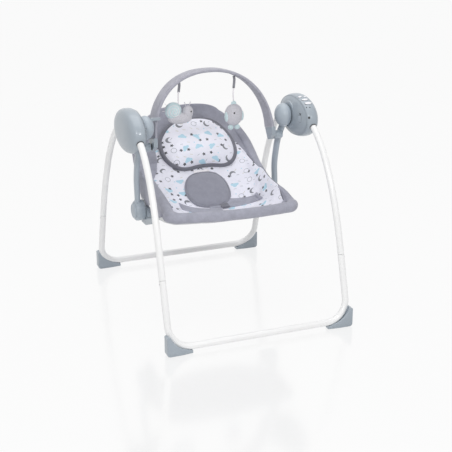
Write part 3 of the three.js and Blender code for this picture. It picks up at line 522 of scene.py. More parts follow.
def printed_cotton(name, ground, spacing):
    """Near-white cotton with scattered clouds, moons, rings, stars, dots and short dashes.

    Large cells hold a cloud, a moon or a ring, small cells a star, a dot, a dash or nothing. A
    cell's first random number says which, by the limits named here.
    """
    finish = Finish(name, ground, 0.85, Sheen_Weight=0.15)
    where = finish.place("UV")
    navy = (0.032, 0.036, 0.045)
    sky = (0.45, 0.70, 0.83)
    grey = (0.17, 0.18, 0.20)
    straw = (0.62, 0.60, 0.52)
    clouds_to = 0.38
    moons_to = 0.72
    stars_to = 0.30
    dots_to = 0.42
    dashes_from = 0.55
    small_cell = 0.523

    x, y, kind, _ = print_motifs(finish, where, spacing, 3.3, 0.24)
    cloud = disc(x, y, -0.16, -0.03, 0.12).at_least(disc(x, y, 0.01, 0.045, 0.17))
    cloud = cloud.at_least(disc(x, y, 0.19, -0.03, 0.12)) * (y > -0.10)
    moon = disc(x, y, 0.0, 0.0, 0.24) * (1.0 - disc(x, y, 0.11, 0.06, 0.20))
    ring = disc(x, y, 0.0, 0.0, 0.21) * (1.0 - disc(x, y, 0.0, 0.0, 0.17))
    big = (kind < clouds_to) * cloud + (kind > clouds_to) * (kind < moons_to) * moon
    big = big + (kind > moons_to) * ring
    tint = finish.blend(kind > clouds_to, sky, grey)
    tint = finish.blend(kind > moons_to, tint, shade(grey, 2.2))
    colour = finish.blend(big * 0.9, ground, tint)

    x, y, kind, tone = print_motifs(finish, where, spacing * small_cell, 7.7, 0.34)
    clear = 1.0 - big.at_most(1.0)
    stars = star(x, y, 0.25, 0.03) * (kind < stars_to) * clear
    dash = (x.math("ABSOLUTE") < 0.20) * (y.math("ABSOLUTE") < 0.045)
    dash = dash * (kind > dashes_from) * clear
    dots = disc(x, y, 0.0, 0.0, 0.09, 0.03) * (kind > stars_to) * (kind < dots_to) * clear
    colour = finish.blend(dash * 0.8, colour, finish.blend(tone > 0.5, straw, shade(grey, 2.6)))
    colour = finish.blend(dots * 0.9, colour, sky)
    colour = finish.blend(stars * 0.95, colour, navy)
    finish.feed("Base Color", colour)

    threads = finish.noise(1500.0, 2.0)
    creases = finish.noise(26.0, 3.0)
    finish.bump(threads * 0.12 + creases.soft(0.30, 0.70), 0.0024)
    return finish.material


def plush(name, colour):
    """Short plush: tufts of pile that catch the light unevenly."""
    finish = Finish(name, colour, 1.0, Sheen_Weight=0.6, Sheen_Roughness=0.4)
    tufts = finish.noise(420.0, 4.0, roughness=0.75)
    patches = finish.noise(60.0, 3.0)
    mottle = tufts.soft(0.3, 0.7) * 0.7 + patches * 0.3
    finish.feed("Base Color", finish.blend(mottle, shade(colour, 0.78), shade(colour, 1.12)))
    finish.bump(tufts, 0.0016)
    return finish.material


def make_materials(colours):
    """Fills MATERIALS with every finish of the swing."""
    plastic = tuple(colours.plastic)
    grey = tuple(colours.seat_cloth)
    MATERIALS.update(
        enamel=enamel("White enamel", tuple(colours.enamel)),
        plastic=moulded_plastic("Blue-grey plastic", plastic, 0.33, 0.3),
        # The arms' plastic is the hubs' plastic made lighter: painted light on the arms, knobs, caps
        # and release faces.
        arm_plastic=moulded_plastic("Arm plastic, painted light", shade(plastic, 1.14), 0.36, 0.25),
        white_plastic=moulded_plastic("White plastic", (0.90, 0.90, 0.94), 0.35, 0.2),
        dark_plastic=moulded_plastic("Dark plastic", (0.03, 0.032, 0.036), 0.45),
        steel=metal("Steel", (0.62, 0.63, 0.64), 0.35),
        cell=metal("Cell wrap", (0.55, 0.50, 0.38), 0.4),
        board=moulded_plastic("Circuit board", (0.03, 0.14, 0.06), 0.5),
        seat_cloth=brushed_fabric("Seat cloth", grey),
        # The lining is the seat cloth made darker: painted shade for the inside of the seat's back.
        lining=brushed_fabric("Seat lining, painted shade", shade(grey, 0.9)),
        piping=brushed_fabric("Piping", shade(grey, 0.48), 0.0003, 1900.0),
        pad_cloth=velvet("Pad velvet", shade(grey, 0.80)),
        strap=brushed_fabric("Strap webbing", shade(grey, 0.7), 0.0004, 1200.0),
        bar_cloth=brushed_fabric("Bar sleeve cloth", tuple(colours.bar_cloth)),
        print_cloth=printed_cotton(
            "Printed cotton", tuple(colours.print_ground), chosen("motif_spacing") * MM
        ),
        plush_grey=plush("Grey plush", (0.68, 0.67, 0.72)),
        plush_mint=plush("Mint plush", (0.70, 0.86, 0.89)),
        ribbon=brushed_fabric("Ribbon", (0.30, 0.30, 0.33), 0.0002, 2000.0),
        white_ribbon=brushed_fabric("White ribbon", (0.86, 0.83, 0.86), 0.0002, 2000.0),
        bead=moulded_plastic("Black bead", (0.01, 0.01, 0.012), 0.15, 0.6),
    )


# ------------------------------------------------------------------ frame tubes and feet


def leg_up():
    """Unit vector up the straight lower part of a rear leg."""
    return unit(KNEE - np.array([LEG_X, FLOOR_TUBE_Y, FLOOR_TUBE_Z]))


def floor_tube_path():
    """Half of the rear floor tube and its mirror: along the floor, round the bend, to the knee.

    The bend is corner centre plus cos and sin of a quarter turn times the two straight ends.
    """
    corner = np.array([LEG_X, FLOOR_TUBE_Y, FLOOR_TUBE_Z])
    side = corner - np.array([FLOOR_BEND, 0.0, 0.0])
    top = corner + FLOOR_BEND * leg_up()
    centre = side + top - corner
    turn = np.linspace(0, pi / 2, 18)[:, None]
    arc = centre + (side - centre) * np.cos(turn) + (top - centre) * np.sin(turn)
    share = np.linspace(0, 1, 9)[:-1, None]
    floor = share * side + (1 - share) * (side * [0, 1, 1])
    end = KNEE - 0.6 * leg_up()
    rise = top + np.linspace(0, 1, 6)[1:, None] * (end - top)
    half = np.concatenate([floor, arc, rise])
    return np.concatenate([(half[1:] * [-1, 1, 1])[::-1], half])


def upper_leg_path():
    """Cubic Bezier curve from the knee over into the hub."""
    top = np.array([HUB_LEG_X, 62.0, PIVOT_Z + 3.0])
    lead = np.array([HUB_LEG_X + 0.5, 188.4, PIVOT_Z - 31.5])
    low = KNEE + 150.0 * leg_up()
    t = np.linspace(0, 1, 60)[:, None]
    start = (1 - t) ** 3 * KNEE + 3 * (1 - t) ** 2 * t * low
    return start + 3 * (1 - t) * t**2 * lead + t**3 * top


def tube_ends(path):
    """A frame tube's radius along the path, rolled in at both ends."""
    size = np.full(len(path), TUBE_RADIUS)
    size[[0, -1]] -= 1.0
    return size


def with_ends(path):
    """The path with one more point a little inside each end, so that an end can be rounded."""
    inset = 1.0
    first = path[0] + unit(path[1] - path[0]) * inset
    last = path[-1] + unit(path[-2] - path[-1]) * inset
    return np.concatenate([path[:1], [first], path[1:-1], [last], path[-1:]])


def knee_rivet(name, x, y):
    """Rivet head where the spring pin holds an upper leg in its floor tube."""
    across = np.array([1.0, 0.0, 0.0])
    place = KNEE - 9.0 * leg_up() + across * 9.0
    path = place + np.linspace(0, 1, 4)[:, None] * across * 1.2
    return tube(name, path * [x, y, 1], np.array([2.9, 2.9, 2.6, 1.6]), 16)


def build_frame_tubes():
    """Floor tubes and upper legs of both frames, with a rivet head at each knee."""
    floor = with_ends(floor_tube_path())
    leg = with_ends(upper_leg_path())
    enamel_paint = MATERIALS["enamel"]
    for body, y, end in (("front_frame", -1.0, "front"), ("rear_frame", 1.0, "rear")):
        piece = tube(f"{end}_floor_tube_skin", floor * [1, y, 1], tube_ends(floor))
        finish_piece(piece, body, enamel_paint, [f"{end}_floor_tube"])
        for side, x in SIDES:
            piece = tube(f"{end}_{side}_leg_skin", leg * [x, y, 1], tube_ends(leg))
            finish_piece(piece, body, enamel_paint, [f"{end}_{side}_leg"])
            rivet = knee_rivet(f"{end}_{side}_leg_rivet", x, y)
            finish_piece(rivet, body, MATERIALS["steel"])


def foot_shape(name):
    """Wedge foot: for each angle round the bend, a ring from the slope down to the outline.

    The upper side keeps the slope's radius from the bend's centre. It is raised to clear the tube
    in the middle, rolled off at both edges and dropped at the toe. The lower side is where the
    ray meets the floor, the outer side or the rounded corner between them.
    """
    arc_x = LEG_X - FLOOR_BEND
    arc_z = FLOOR_TUBE_Z + FLOOR_BEND
    slope = 69.5
    height = 58.0
    outer = 282.0
    corner = 8.0
    half = 13.5
    edge_roll = 2.2
    toe_drop = 4.5
    tube_clear = 9.8
    start = -pi / 2
    end = -np.arcsin((arc_z - height) / slope)
    angle = np.linspace(start, end, 40)
    across = np.concatenate([[-1, -0.98, -0.9], np.linspace(-0.75, 0.75, 15), [0.9, 0.98, 1]])
    narrow = 0.72 + 0.28 * smoothstep(angle, start, start + 0.45)
    y = across[None, :] * half * narrow[:, None]
    edge = np.clip((np.abs(across) - 0.86) / 0.14, 0, 1)
    roll = edge_roll * (1 - np.sqrt(np.clip(1 - edge**2, 0, 1)))
    tube_room = FLOOR_BEND + np.sqrt(np.clip(tube_clear**2 - y**2, 0, None))
    drop = toe_drop * (1 - smoothstep(angle, start, start + 0.22))[:, None]
    top = np.maximum(slope + drop, tube_room) + roll[None, :]
    dx, dz = np.cos(angle), np.sin(angle)
    to_floor = arc_z / -dz
    to_side = (outer - arc_x) / np.maximum(dx, 1e-6)
    cx, cz = outer - corner - arc_x, corner - arc_z
    along = dx * cx + dz * cz
    to_corner = along + np.sqrt(np.maximum(along**2 - (cx**2 + cz**2 - corner**2), 0))
    low = np.minimum(to_floor, to_side)
    hit_x, hit_z = low * dx, low * dz
    in_corner = (hit_x > cx) & (hit_z < cz)
    low = np.where(in_corner, to_corner, low)
    tip = smoothstep(angle, start, start + 0.25)
    low = np.maximum(low, top.max(axis=1) + 1.5 + 3.0 * tip)
    under = low[:, None] - roll[None, ::-1] * 0.6
    reach = np.concatenate([top, np.maximum(under, top[:, ::-1] + 1.0)], axis=1)
    width = np.concatenate([y, y[:, ::-1]], axis=1)
    x = arc_x + reach * dx[:, None]
    z = arc_z + reach * dz[:, None]
    points = np.stack([x, FLOOR_TUBE_Y + width, z], axis=-1)
    points[..., 2] = np.maximum(points[..., 2], 0.0)
    return loft(name, points, crease=50.0)


def build_feet():
    """Four wedge feet: the rear right one and its mirror images."""
    rear_right = foot_shape("rear_right_foot_skin")
    for end, body, y in (("rear", "rear_frame", 1.0), ("front", "front_frame", -1.0)):
        for side, x in SIDES:
            name = f"{end}_{side}_foot"
            first = end == "rear" and side == "right"
            piece = rear_right if first else mirrored(rear_right, name + "_skin", x, y)
            finish_piece(piece, body, MATERIALS["plastic"], [name])


# ------------------------------------------------------------------ hubs


def hub_radial(x):
    """Share of the hub's full section at x: (1 - |(x - centre) / half|^power)^(1 / power)."""
    side = np.abs((x - HUB_CENTRE[0]) / HUB_HALF[0])
    return np.clip(1 - side**HUB_POWER, 0, None) ** (1 / HUB_POWER)


def hub_grid(x, angle, inset=0.0):
    """Points of the hub's skin at stations x and angles about its axis, moved in by inset."""
    radial = hub_radial(x)[:, None]
    y = HUB_CENTRE[1] + (HUB_HALF[1] - inset) * radial * np.cos(angle)[None, :]
    z = HUB_CENTRE[2] + (HUB_HALF[2] - inset) * radial * np.sin(angle)[None, :]
    return np.stack([np.broadcast_to(x[:, None], y.shape), y, z], axis=-1)


def hub_crown(x, y):
    """Point and outward normal of the hub's upper skin over (x, y)."""
    radial = float(hub_radial(np.array([x]))[0])
    across = (y - HUB_CENTRE[1]) / HUB_HALF[1]
    up = sqrt(max(radial**2 - across**2, 0.0))
    side = (x - HUB_CENTRE[0]) / HUB_HALF[0]
    normal = np.array(
        [
            np.sign(side) * abs(side) ** (HUB_POWER - 1) / HUB_HALF[0],
            radial ** (HUB_POWER - 2) * across / HUB_HALF[1],
            radial ** (HUB_POWER - 2) * up / HUB_HALF[2],
        ]
    )
    return np.array([x, y, HUB_CENTRE[2] + HUB_HALF[2] * up]), unit(normal)


def hub_stations(x0, x1, count, ease0, ease1):
    """Stations from x0 to x1, closer together near the ends that are eased."""
    ease = 2.2
    t = np.linspace(0, 1, count)
    if ease0:
        t = t**ease
    if ease1:
        t = 1 - (1 - t) ** ease
    return x0 + (x1 - x0) * t


def add_wall(obj):
    """Gives a hub's skin the thickness of its wall, towards the inside."""
    wall = obj.modifiers.new("Wall", "SOLIDIFY")
    wall.thickness = HUB_WALL * MM
    wall.offset = -1.0


def open_skin(name, grid, keep, capped=False):
    """A hub's wall over an open grid of points; keep says which quads stay.

    When capped, the last ring is filled with one flat face.
    """
    rows, columns = grid.shape[:2]
    faces = grid_faces(rows, columns, True).reshape(rows - 1, columns, 4)[keep]
    points = grid.reshape(-1, 3)
    middle = points.mean(axis=0)
    a = points[faces[:, 0]]
    outward = np.cross(points[faces[:, 1]] - a, points[faces[:, 3]] - a)
    if np.sum(outward * (a - middle)) < 0:
        faces = faces[:, ::-1]
    faces = list(faces)
    if capped:
        last = np.arange(columns) + (rows - 1) * columns
        edge = tuple(last[:2])
        along = any(edge == (f[k], f[(k + 1) % 4]) for f in faces for k in range(4))
        faces.append(last[::-1] if along else last)
    obj = make_mesh(name, points, faces, crease=50.0)
    add_wall(obj)
    return obj


def inner_hub(name):
    """Inner half of a hub: from a small ring round the bush out to the seam, with a rolled edge."""
    dish = 0.6
    bush_hole = 10.4
    x = hub_stations(HUB_FACE_X + dish, HUB_SEAM_X - 0.1, 34, True, False)
    angle = np.linspace(0, 2 * pi, 128, endpoint=False)
    grid = hub_grid(x, angle)
    lip = hub_grid(np.array([HUB_SEAM_X - 0.05]), angle, 0.5)
    first = grid[:1]
    rings = []
    for share in (0.0, 0.12, 0.4, 0.7, 0.9):
        face_x = np.full_like(angle, HUB_FACE_X) + dish * share
        y = bush_hole * np.cos(angle)
        z = PIVOT_Z + bush_hole * np.sin(angle)
        flat = np.stack([face_x, y, z], axis=-1)[None]
        rings.append(flat * (1 - share) + first * share)
    skin = np.concatenate([*rings, grid, lip])
    keep = np.ones((len(skin) - 1, skin.shape[1]), dtype=bool)
    return open_skin(name, skin, keep)


def outer_hub(name):
    """Outer half of a hub, from the seam to its crown, with the slot for the folding rear leg."""
    slot_half = 10.5
    last_x = 294.6
    crown_x = 294.95
    slot_low = HUB_LEG_X - slot_half
    slot_high = HUB_LEG_X + slot_half
    x = np.concatenate(
        [
            np.linspace(HUB_SEAM_X + 0.1, slot_low, 7)[:-1],
            np.linspace(slot_low, slot_high, 12)[:-1],
            hub_stations(slot_high, last_x, 26, False, True),
        ]
    )
    slot_start, slot_end = radians(-77.0), radians(7.0)
    count = 36
    angle = np.concatenate(
        [
            np.linspace(slot_start, slot_end, count, endpoint=False),
            np.linspace(slot_end, slot_start + 2 * pi, 100, endpoint=False),
        ]
    )
    grid = hub_grid(x, angle)
    lip = hub_grid(np.array([HUB_SEAM_X + 0.05]), angle, 0.5)
    last_ring = hub_grid(x[-1:], angle)[0]
    crown = np.stack([np.full(angle.shape, crown_x), *last_ring.T[1:]], axis=-1)
    crown[:, 1:] = HUB_CENTRE[1:] + (crown[:, 1:] - HUB_CENTRE[1:]) * 0.5
    skin = np.concatenate([lip, grid, crown[None]])
    station = (skin[:-1, 0, 0] + skin[1:, 0, 0]) / 2
    in_x = (station > slot_low) & (station < slot_high)
    in_angle = np.arange(len(angle)) < count
    keep = ~(in_x[:, None] & in_angle[None, :])
    return open_skin(name, skin, keep, capped=True)


def surface_oval(name, place, normal, half_x, half_y, rise, sink, domed=0.5, square=1.0):
    """A key on the hub's skin: rings that shrink as they rise, leaning to the normal.

    The outline is an oval whose cosine and sine are raised to the power square, so that 1 gives
    an ellipse and a smaller power a rounded rectangle.
    """
    along = unit(np.array([1.0, 0.0, 0.0]) - normal * normal[0])
    across = np.cross(normal, along)
    angle = np.linspace(0, 2 * pi, 40, endpoint=False)
    steps = [
        (1.0, -sink),
        (1.0, rise - domed),
        (0.97, rise - 0.35 * domed),
        (0.85, rise),
        (0.4, rise + 0.25),
    ]
    c, s = np.cos(angle), np.sin(angle)
    c = np.sign(c) * np.abs(c) ** square
    s = np.sign(s) * np.abs(s) ** square
    rings = [
        place
        + size * half_x * c[:, None] * along
        + size * half_y * s[:, None] * across
        + height * normal
        for size, height in steps
    ]
    return loft(name, np.array(rings), crease=60.0)


# Each button's X and Y on the crown, and its half sizes along X and Y.
BUTTONS = (
    (255.0, -34.0, 6.0, 4.0),
    (270.0, -36.0, 4.5, 3.5),
    (261.0, -55.0, 10.0, 4.5),
    (263.5, -73.0, 11.0, 5.0),
)


def build_hubs():
    """Both halves of the right hub, and their mirror images on the left."""
    halves = {
        "inner": inner_hub("right_hub_inner_skin"),
        "outer": outer_hub("right_hub_outer_skin"),
    }
    for side, x in SIDES:
        for half, skin in halves.items():
            if x < 0:
                skin = mirrored(skin, f"left_hub_{half}_skin")
                add_wall(skin)
            nodes = [f"{side}_hub_{half}_shell"]
            finish_piece(skin, "front_frame", MATERIALS["plastic"], nodes)


def hub_level(points):
    """Below 1 inside the hub's outer skin, 1 on it and above 1 outside."""
    share = np.abs((points - HUB_CENTRE) / HUB_HALF)
    return share[..., 0] ** HUB_POWER + (share[..., 1] ** 2 + share[..., 2] ** 2) ** (
        HUB_POWER / 2
    )


def hub_gap(place, direction):
    """Signed distance from a place along a direction to the hub's skin, by small steps."""
    steps = np.linspace(-8, 8, 641)
    level = hub_level(place + steps[:, None] * direction)
    return float(steps[np.argmax(level > 1.0)])


def soft_box(name, centre, half):
    """A box with its long edges along X rounded, and a rolled edge on both faces."""
    angle = np.linspace(0, 2 * pi, 48, endpoint=False)
    c, s = np.cos(angle), np.sin(angle)
    y = np.sign(c) * np.abs(c) ** 0.45 * half[1]
    z = np.sign(s) * np.abs(s) ** 0.45 * half[2]
    rings = [
        np.stack([np.full(48, place), y - np.sign(y) * cut, z - np.sign(z) * cut], axis=-1)
        for place, cut in (
            (-half[0], 0.9),
            (-half[0] + 0.3, 0.3),
            (-half[0] + 0.9, 0.0),
            (half[0] - 0.9, 0.0),
            (half[0] - 0.3, 0.3),
            (half[0], 0.9),
        )
    ]
    return loft(name, np.array(rings) + np.array(centre))


def door_edge():
    """The battery door's edge: a rounded rectangle over Y and Z, laid on the right hub's skin.

    The skin's X at a place is the hub's middle plus its half width times the root of what the
    squares of the other two shares leave.
    """
    low, high = (np.array(corner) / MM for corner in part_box("battery_door"))
    middle = (low + high) / 2
    half = (high - low) / 2
    angle = np.linspace(0, 2 * pi, 480, endpoint=False)
    c, s = np.cos(angle), np.sin(angle)
    y = middle[1] + np.sign(c) * np.abs(c) ** 0.3 * half[1]
    z = middle[2] + np.sign(s) * np.abs(s) ** 0.3 * half[2]
    share = ((y - HUB_CENTRE[1]) / HUB_HALF[1]) ** 2 + ((z - HUB_CENTRE[2]) / HUB_HALF[2]) ** 2
    x = HUB_CENTRE[0] + HUB_HALF[0] * (1 - share ** (HUB_POWER / 2)) ** (1 / HUB_POWER)
    return np.stack([x, y, z], axis=-1)


def dark_mark(piece):
    """Finishes a dark joint, a mark or a patch of painted shade on a hub."""
    finish_piece(piece, "front_frame", MATERIALS["dark_plastic"])


def build_door_edge():
    """Dark joint round the battery door, and the notch that a thumb opens it by."""
    edge = even_ring(door_edge(), 260, 2)
    dark_mark(ring_tube("battery_door_joint", edge - [0.25, 0.0, 0.0], 0.55, 10))
    latch = edge[np.argmax(edge[:, 1] - np.abs(edge[:, 2] - HUB_CENTRE[2]))] - [0.0, 5.0, 0.0]
    lean = unit(np.array([1.0, 0.35, 0.0]))
    latch = latch + lean * hub_gap(latch, lean)
    dark_mark(surface_oval("battery_door_notch", latch, lean, 2.0, 6.0, 0.2, 1.5, 0.1))


def build_buttons():
    """Pale control buttons, each in a thin dark gap, and the two lamps beside them."""
    for i, (x, y, half_x, half_y) in enumerate(BUTTONS, 1):
        place, normal = hub_crown(x, y)
        key = surface_oval(f"button_cap_{i}", place, normal, half_x, half_y, 1.3, 3.0)
        nodes = [f"control_button_{i}"]
        finish_piece(key, f"button_{i}", MATERIALS["white_plastic"], nodes)
        gap = (half_x + 0.5, half_y + 0.5, 0.12, 1.0, 0.1)
        dark_mark(surface_oval(f"button_gap_{i}", place, normal, *gap))
    lamps = []
    for x, y in ((252.5, -85.3), (261.8, -88.2)):
        place, normal = hub_crown(x, y)
        lamps.append(surface_oval("lamp", place, normal, 1.7, 1.7, 0.5, 1.0, 0.3))
    dark_mark(join_objects("hub_lamps", lamps))


def build_inlet_rim():
    """Dark rim round the power inlet in the right hub."""
    inlet = np.array([252.5, -104.5, 561.0])
    outward = unit(np.array([-0.35, -0.9, 0.27]))
    place = inlet + outward * hub_gap(inlet, outward)
    dark_mark(surface_oval("power_inlet_rim", place, outward, 3.6, 3.6, 0.5, 2.0))


def build_fold_release(side, x):
    """Face of a fold release, the dark gap round it and the notch above it."""
    start = np.array([236.3, -74.0, 552.5])
    lean = unit(np.array([-0.987, -0.163, 0.01]))
    start = start + lean * hub_gap(start, lean)
    flip = np.array([x, 1.0, 1.0])
    place = start * flip
    above = (start + [0.7, 0, 14.5]) * flip
    lean = lean * flip
    gap = surface_oval("gap", place, lean, 7.2, 10.0, 0.15, 3.0, 0.1, 0.45)
    notch = surface_oval("notch", above, lean, 4.2, 1.3, 0.3, 3.0, 0.1, 0.45)
    dark_mark(join_objects(f"{side}_release_gap", [gap, notch]))
    # The face takes the arms' plastic, made lighter as painted light.
    face = surface_oval(f"{side}_release_face", place, lean, 6.5, 9.3, 1.1, 3.0, 0.5, 0.45)
    nodes = [f"{side}_release_button"]
    finish_piece(face, f"{side}_release", MATERIALS["arm_plastic"], nodes)


def build_leg_opening_shade(side, x):
    """Painted shade: a dark ring round a front leg where it enters its hub, for the shaded opening
    into the hub.
    """
    leg = smooth_curve(upper_leg_path() * [x, -1, 1], np.linspace(0.5, 1, 400))
    first = int(np.argmax(hub_level(leg * [x, 1, 1]) < 1.0))
    dark_mark(tube(f"{side}_leg_opening_shade", leg[first - 3 : first + 3], 10.6))


def build_hub_collar(side, x):
    """Raised round collar on a hub's inner face, in front of the arm's round head."""
    profile = [
        (-1.4, 30.0),
        (-1.8, 31.5),
        (-1.8, 37.5),
        (-1.2, 39.5),
        (0.6, 40.6),
        (3.0, 41.0),
        (3.0, 30.0),
    ]
    collar = lathe_x(f"{side}_hub_collar", profile, (HUB_FACE_X + 2.0, 0.0, PIVOT_Z), 96)
    if x < 0:
        flipped = mirrored(collar, "flipped")
        bpy.data.objects.remove(collar)
        flipped.name = f"{side}_hub_collar"
        collar = flipped
    finish_piece(collar, "front_frame", MATERIALS["plastic"])


def build_hub_details():
    """The small parts on both hubs, from the battery door's joint to the collars."""
    build_door_edge()
    build_buttons()
    build_inlet_rim()
    for side, x in SIDES:
        build_fold_release(side, x)
        build_leg_opening_shade(side, x)
        build_hub_collar(side, x)


# ------------------------------------------------------------------ swing arms


# The arm's line from the hub to the seat, as Y and Z.
ARM_LINE = (
    (0, 550), (24, 509), (41, 483), (55, 455), (67, 417),
    (73, 391), (75, 367), (73, 344), (71, 320), (72, 280),
)


def arm_sweep(name):
    """The curved arm: an oval section, flatter on the inside, carried along the arm's line."""
    knots = np.array([(ARM_X, y, z) for y, z in ARM_LINE], dtype=float)
    path = smooth_curve(knots, np.linspace(0, 1, 70))
    first, second = frames_along(path, np.array([1.0, 0.0, 0.0]))
    angle = np.linspace(0, 2 * pi, 40, endpoint=False)
    c, s = np.cos(angle), np.sin(angle)
    wide = np.sign(c) * np.abs(c) ** 0.85 * 8.0
    deep = np.sign(s) * np.abs(s) ** 0.85 * 12.0
    return loft(name, swept_rings(path, first, second, wide, deep))


def knob_shape(name):
    """Round head of an arm: a ball flattened where it faces the hub, with a rolled shoulder."""
    t = np.linspace(-pi / 2 + 0.05, 0.62, 30)
    profile = [(24.5 * sin(a), 35.0 * cos(a)) for a in t]
    edge_x, edge_r = profile[-1]
    profile += [(edge_x + 0.5, edge_r - 0.5), (15.0, edge_r - 1.5), (15.0, 5.0)]
    return lathe_x(name, profile, (216.5, 0.0, PIVOT_Z), 80)


def barrel_shape(name):
    """Recline barrel: a drum with rolled edges and a stepped outer face round the cap."""
    profile = [
        (0.0, 9.0), (0.0, 28.8), (0.5, 30.2), (2.0, 31.0), (21.5, 31.0), (24.0, 30.2), (25.0, 28.6),
        (25.4, 28.0), (26.6, 27.6), (27.0, 26.8), (27.0, 23.6), (18.2, 23.5), (18.2, 9.0),
    ]
    return lathe_x(name, profile, (207.0, RECLINE_Y, RECLINE_Z), 80)


def cap_shape(name):
    """Recline cap: a shallow dish with a raised rim and a centre button."""
    profile = [
        (0.0, 4.0), (0.0, 23.0), (8.0, 23.0), (9.2, 22.4), (10.0, 21.0), (10.0, 18.6), (9.2, 17.8),
        (9.0, 12.0), (9.4, 10.8), (10.0, 10.0), (10.0, 0.6),
    ]
    return lathe_x(name, profile, (229.0, RECLINE_Y, RECLINE_Z), 72)


def lug_shape(name):
    """Round lug that carries the toy bar's pin."""
    profile = [(0.0, 4.4), (0.0, 12.2), (1.0, 13.0), (24.0, 13.0), (27.0, 11.0)]
    return lathe_x(name, profile, (196.0, 23.5, 485.0), 48)


def build_arms():
    """Both swing arms with their round heads, barrels and lugs, and the two recline caps."""
    # The arms' lighter plastic is painted light.
    plastic = MATERIALS["arm_plastic"]
    pieces = [arm_sweep("arm"), knob_shape("knob"), barrel_shape("barrel"), lug_shape("lug")]
    right = join_objects("right_arm_skin", pieces)
    left = mirrored(right, "left_arm_skin")
    finish_piece(right, "swing", plastic, ["right_arm"])
    finish_piece(left, "swing", plastic, ["left_arm"])
    cap = cap_shape("right_recline_cap_skin")
    other = mirrored(cap, "left_recline_cap_skin")
    finish_piece(cap, "right_recline_release", plastic, ["right_recline_cap"])
    finish_piece(other, "left_recline_release", plastic, ["left_recline_cap"])


# ------------------------------------------------------------------ seat surfaces

# Rim inset from the seat's widest edge, rim Y, rim height over the recline axis, floor Y, floor
# height, and skirt depth, from the head end to the front.
SEAT_STATIONS = np.array(
    [
        (54, 271, 206, 276, 261, 22),
        (27, 249, 184, 266, 215, 26),
        (7, 203, 149, 237, 157, 32),
        (1, 158, 124, 181, 110, 40),
        (0, 110, 108, 122, 63, 46),
        (0, 60, 93, 72, 18, 50),
        (0, 15, 80, 20, -12, 52),
        (0, -30, 70, -28, -18, 50),
        (-1, -70, 63, -76, -10, 48),
        (-1, -98, 58, -118, 10, 44),
    ],
    dtype=float,
)


# How much lower the left skirt hangs where it covers its bracket.
LEFT_DROP = 38.0

# The sling lies a little towards the left: how far the right rim is drawn in and down.
RIGHT_TUCK = np.array([0, 2, 4, 8, 14, 17, 18, 14, 8, 6], dtype=float)
RIGHT_DROP = np.array([0, 0, 0, 2, 6, 8, 8, 6, 6, 16], dtype=float)


def rim_line(v, side=1.0):
    """The rim's outer edge at v from 0 (head) to 1 (front), as on the right (side 1) or left."""
    knots = SEAT_STATIONS[:, :3] * [-1, 1, 1] + [SEAT_HALF, 0, RECLINE_Z]
    tucked = knots - np.stack([RIGHT_TUCK, np.zeros_like(RIGHT_TUCK), RIGHT_DROP], axis=-1)
    line = smooth_curve(tucked if side > 0 else knots, np.ravel(v))
    return line.reshape(*np.shape(v), 3)


def rim_band(v, side):
    """Width of the rolled rim: it narrows to a thin edge on the right and fills on the left."""
    if side > 0:
        return RIM_BAND - 13.0 * smoothstep(v, 0.28, 0.62)
    return RIM_BAND + 5.0 * smoothstep(v, 0.4, 0.8)


def floor_line(v):
    """The middle line of the seat's lining side."""
    knots = np.stack(
        [
            np.zeros(len(SEAT_STATIONS)),
            SEAT_STATIONS[:, 3],
            SEAT_STATIONS[:, 4] + RECLINE_Z,
        ],
        axis=-1,
    )
    return smooth_curve(knots, np.ravel(v)).reshape(*np.shape(v), 3)


def skirt_depth(v):
    """How far the skirt hangs below the rim."""
    knots = np.stack(
        [np.arange(len(SEAT_STATIONS)), np.zeros(len(SEAT_STATIONS)), SEAT_STATIONS[:, 5]], axis=-1
    )
    return smooth_curve(knots, np.ravel(v))[:, 2].reshape(np.shape(v))


def floor_normal(v):
    """Unit vector off the floor line towards the child."""
    step = 1e-3
    ahead = unit(floor_line(np.clip(v + step, 0, 1)) - floor_line(np.clip(v - step, 0, 1)))
    return np.stack([np.zeros_like(v), ahead[..., 2], -ahead[..., 1]], axis=-1)


def bucket(across, v, lift):
    """Lining side of the seat, lifted off by lift.

    across runs from -1 to 1 and is turned into an angle; sin^0.75 of it spreads the section
    sideways and 1 - cos^0.75 raises it from the floor line to the rim.
    """
    across, v, lift = np.broadcast_arrays(
        np.asarray(across, float), np.asarray(v, float), np.asarray(lift, float)
    )
    on_right = across > 0
    rim = np.where(on_right[..., None], rim_line(v, 1.0), rim_line(v, -1.0))
    band = np.where(on_right, rim_band(v, 1.0), rim_band(v, -1.0))
    floor = floor_line(v)
    angle = np.minimum(np.abs(across), 1) * (pi / 2)
    out = np.sin(angle) ** SECTION_POWER
    rise = 1 - np.clip(np.cos(angle), 0, 1) ** SECTION_POWER
    wall = smoothstep(v, 0, 0.22)
    target = rim * [0, 1, 1]
    point = floor + (target - floor) * rise[..., None]
    point = point + floor_normal(v) * (lift * (1 - rise * wall))[..., None]
    point[..., 0] = np.sign(across) * (rim[..., 0] - band - lift * wall) * out
    return point


def ripple(a, b, seed):
    """Soft wrinkles: a sum of sines whose directions and lengths come from a fixed seed."""
    random = np.random.default_rng(seed)
    total = np.zeros(np.broadcast(a, b).shape)
    for _ in range(9):
        kx, ky = random.normal(size=2)
        scale = random.uniform(0.6, 1.8)
        phase = random.uniform(0, 2 * pi)
        total = total + np.sin(scale * (kx * a + ky * b) + phase) / scale
    return total / 4.0


def surface_uv(points):
    """Distances in metres along both directions of a grid of points, from its middle."""
    across = np.linalg.norm(np.diff(points, axis=1), axis=-1)
    along = np.linalg.norm(np.diff(points, axis=0), axis=-1)
    u = np.concatenate([np.zeros((len(points), 1)), np.cumsum(across, axis=1)], axis=1)
    middle = points.shape[1] // 2
    u = u - u[:, middle : middle + 1]
    v = np.concatenate([[0.0], np.cumsum(along[:, middle])])
    return np.stack([u, np.broadcast_to(v[:, None], u.shape)], axis=-1) * MM


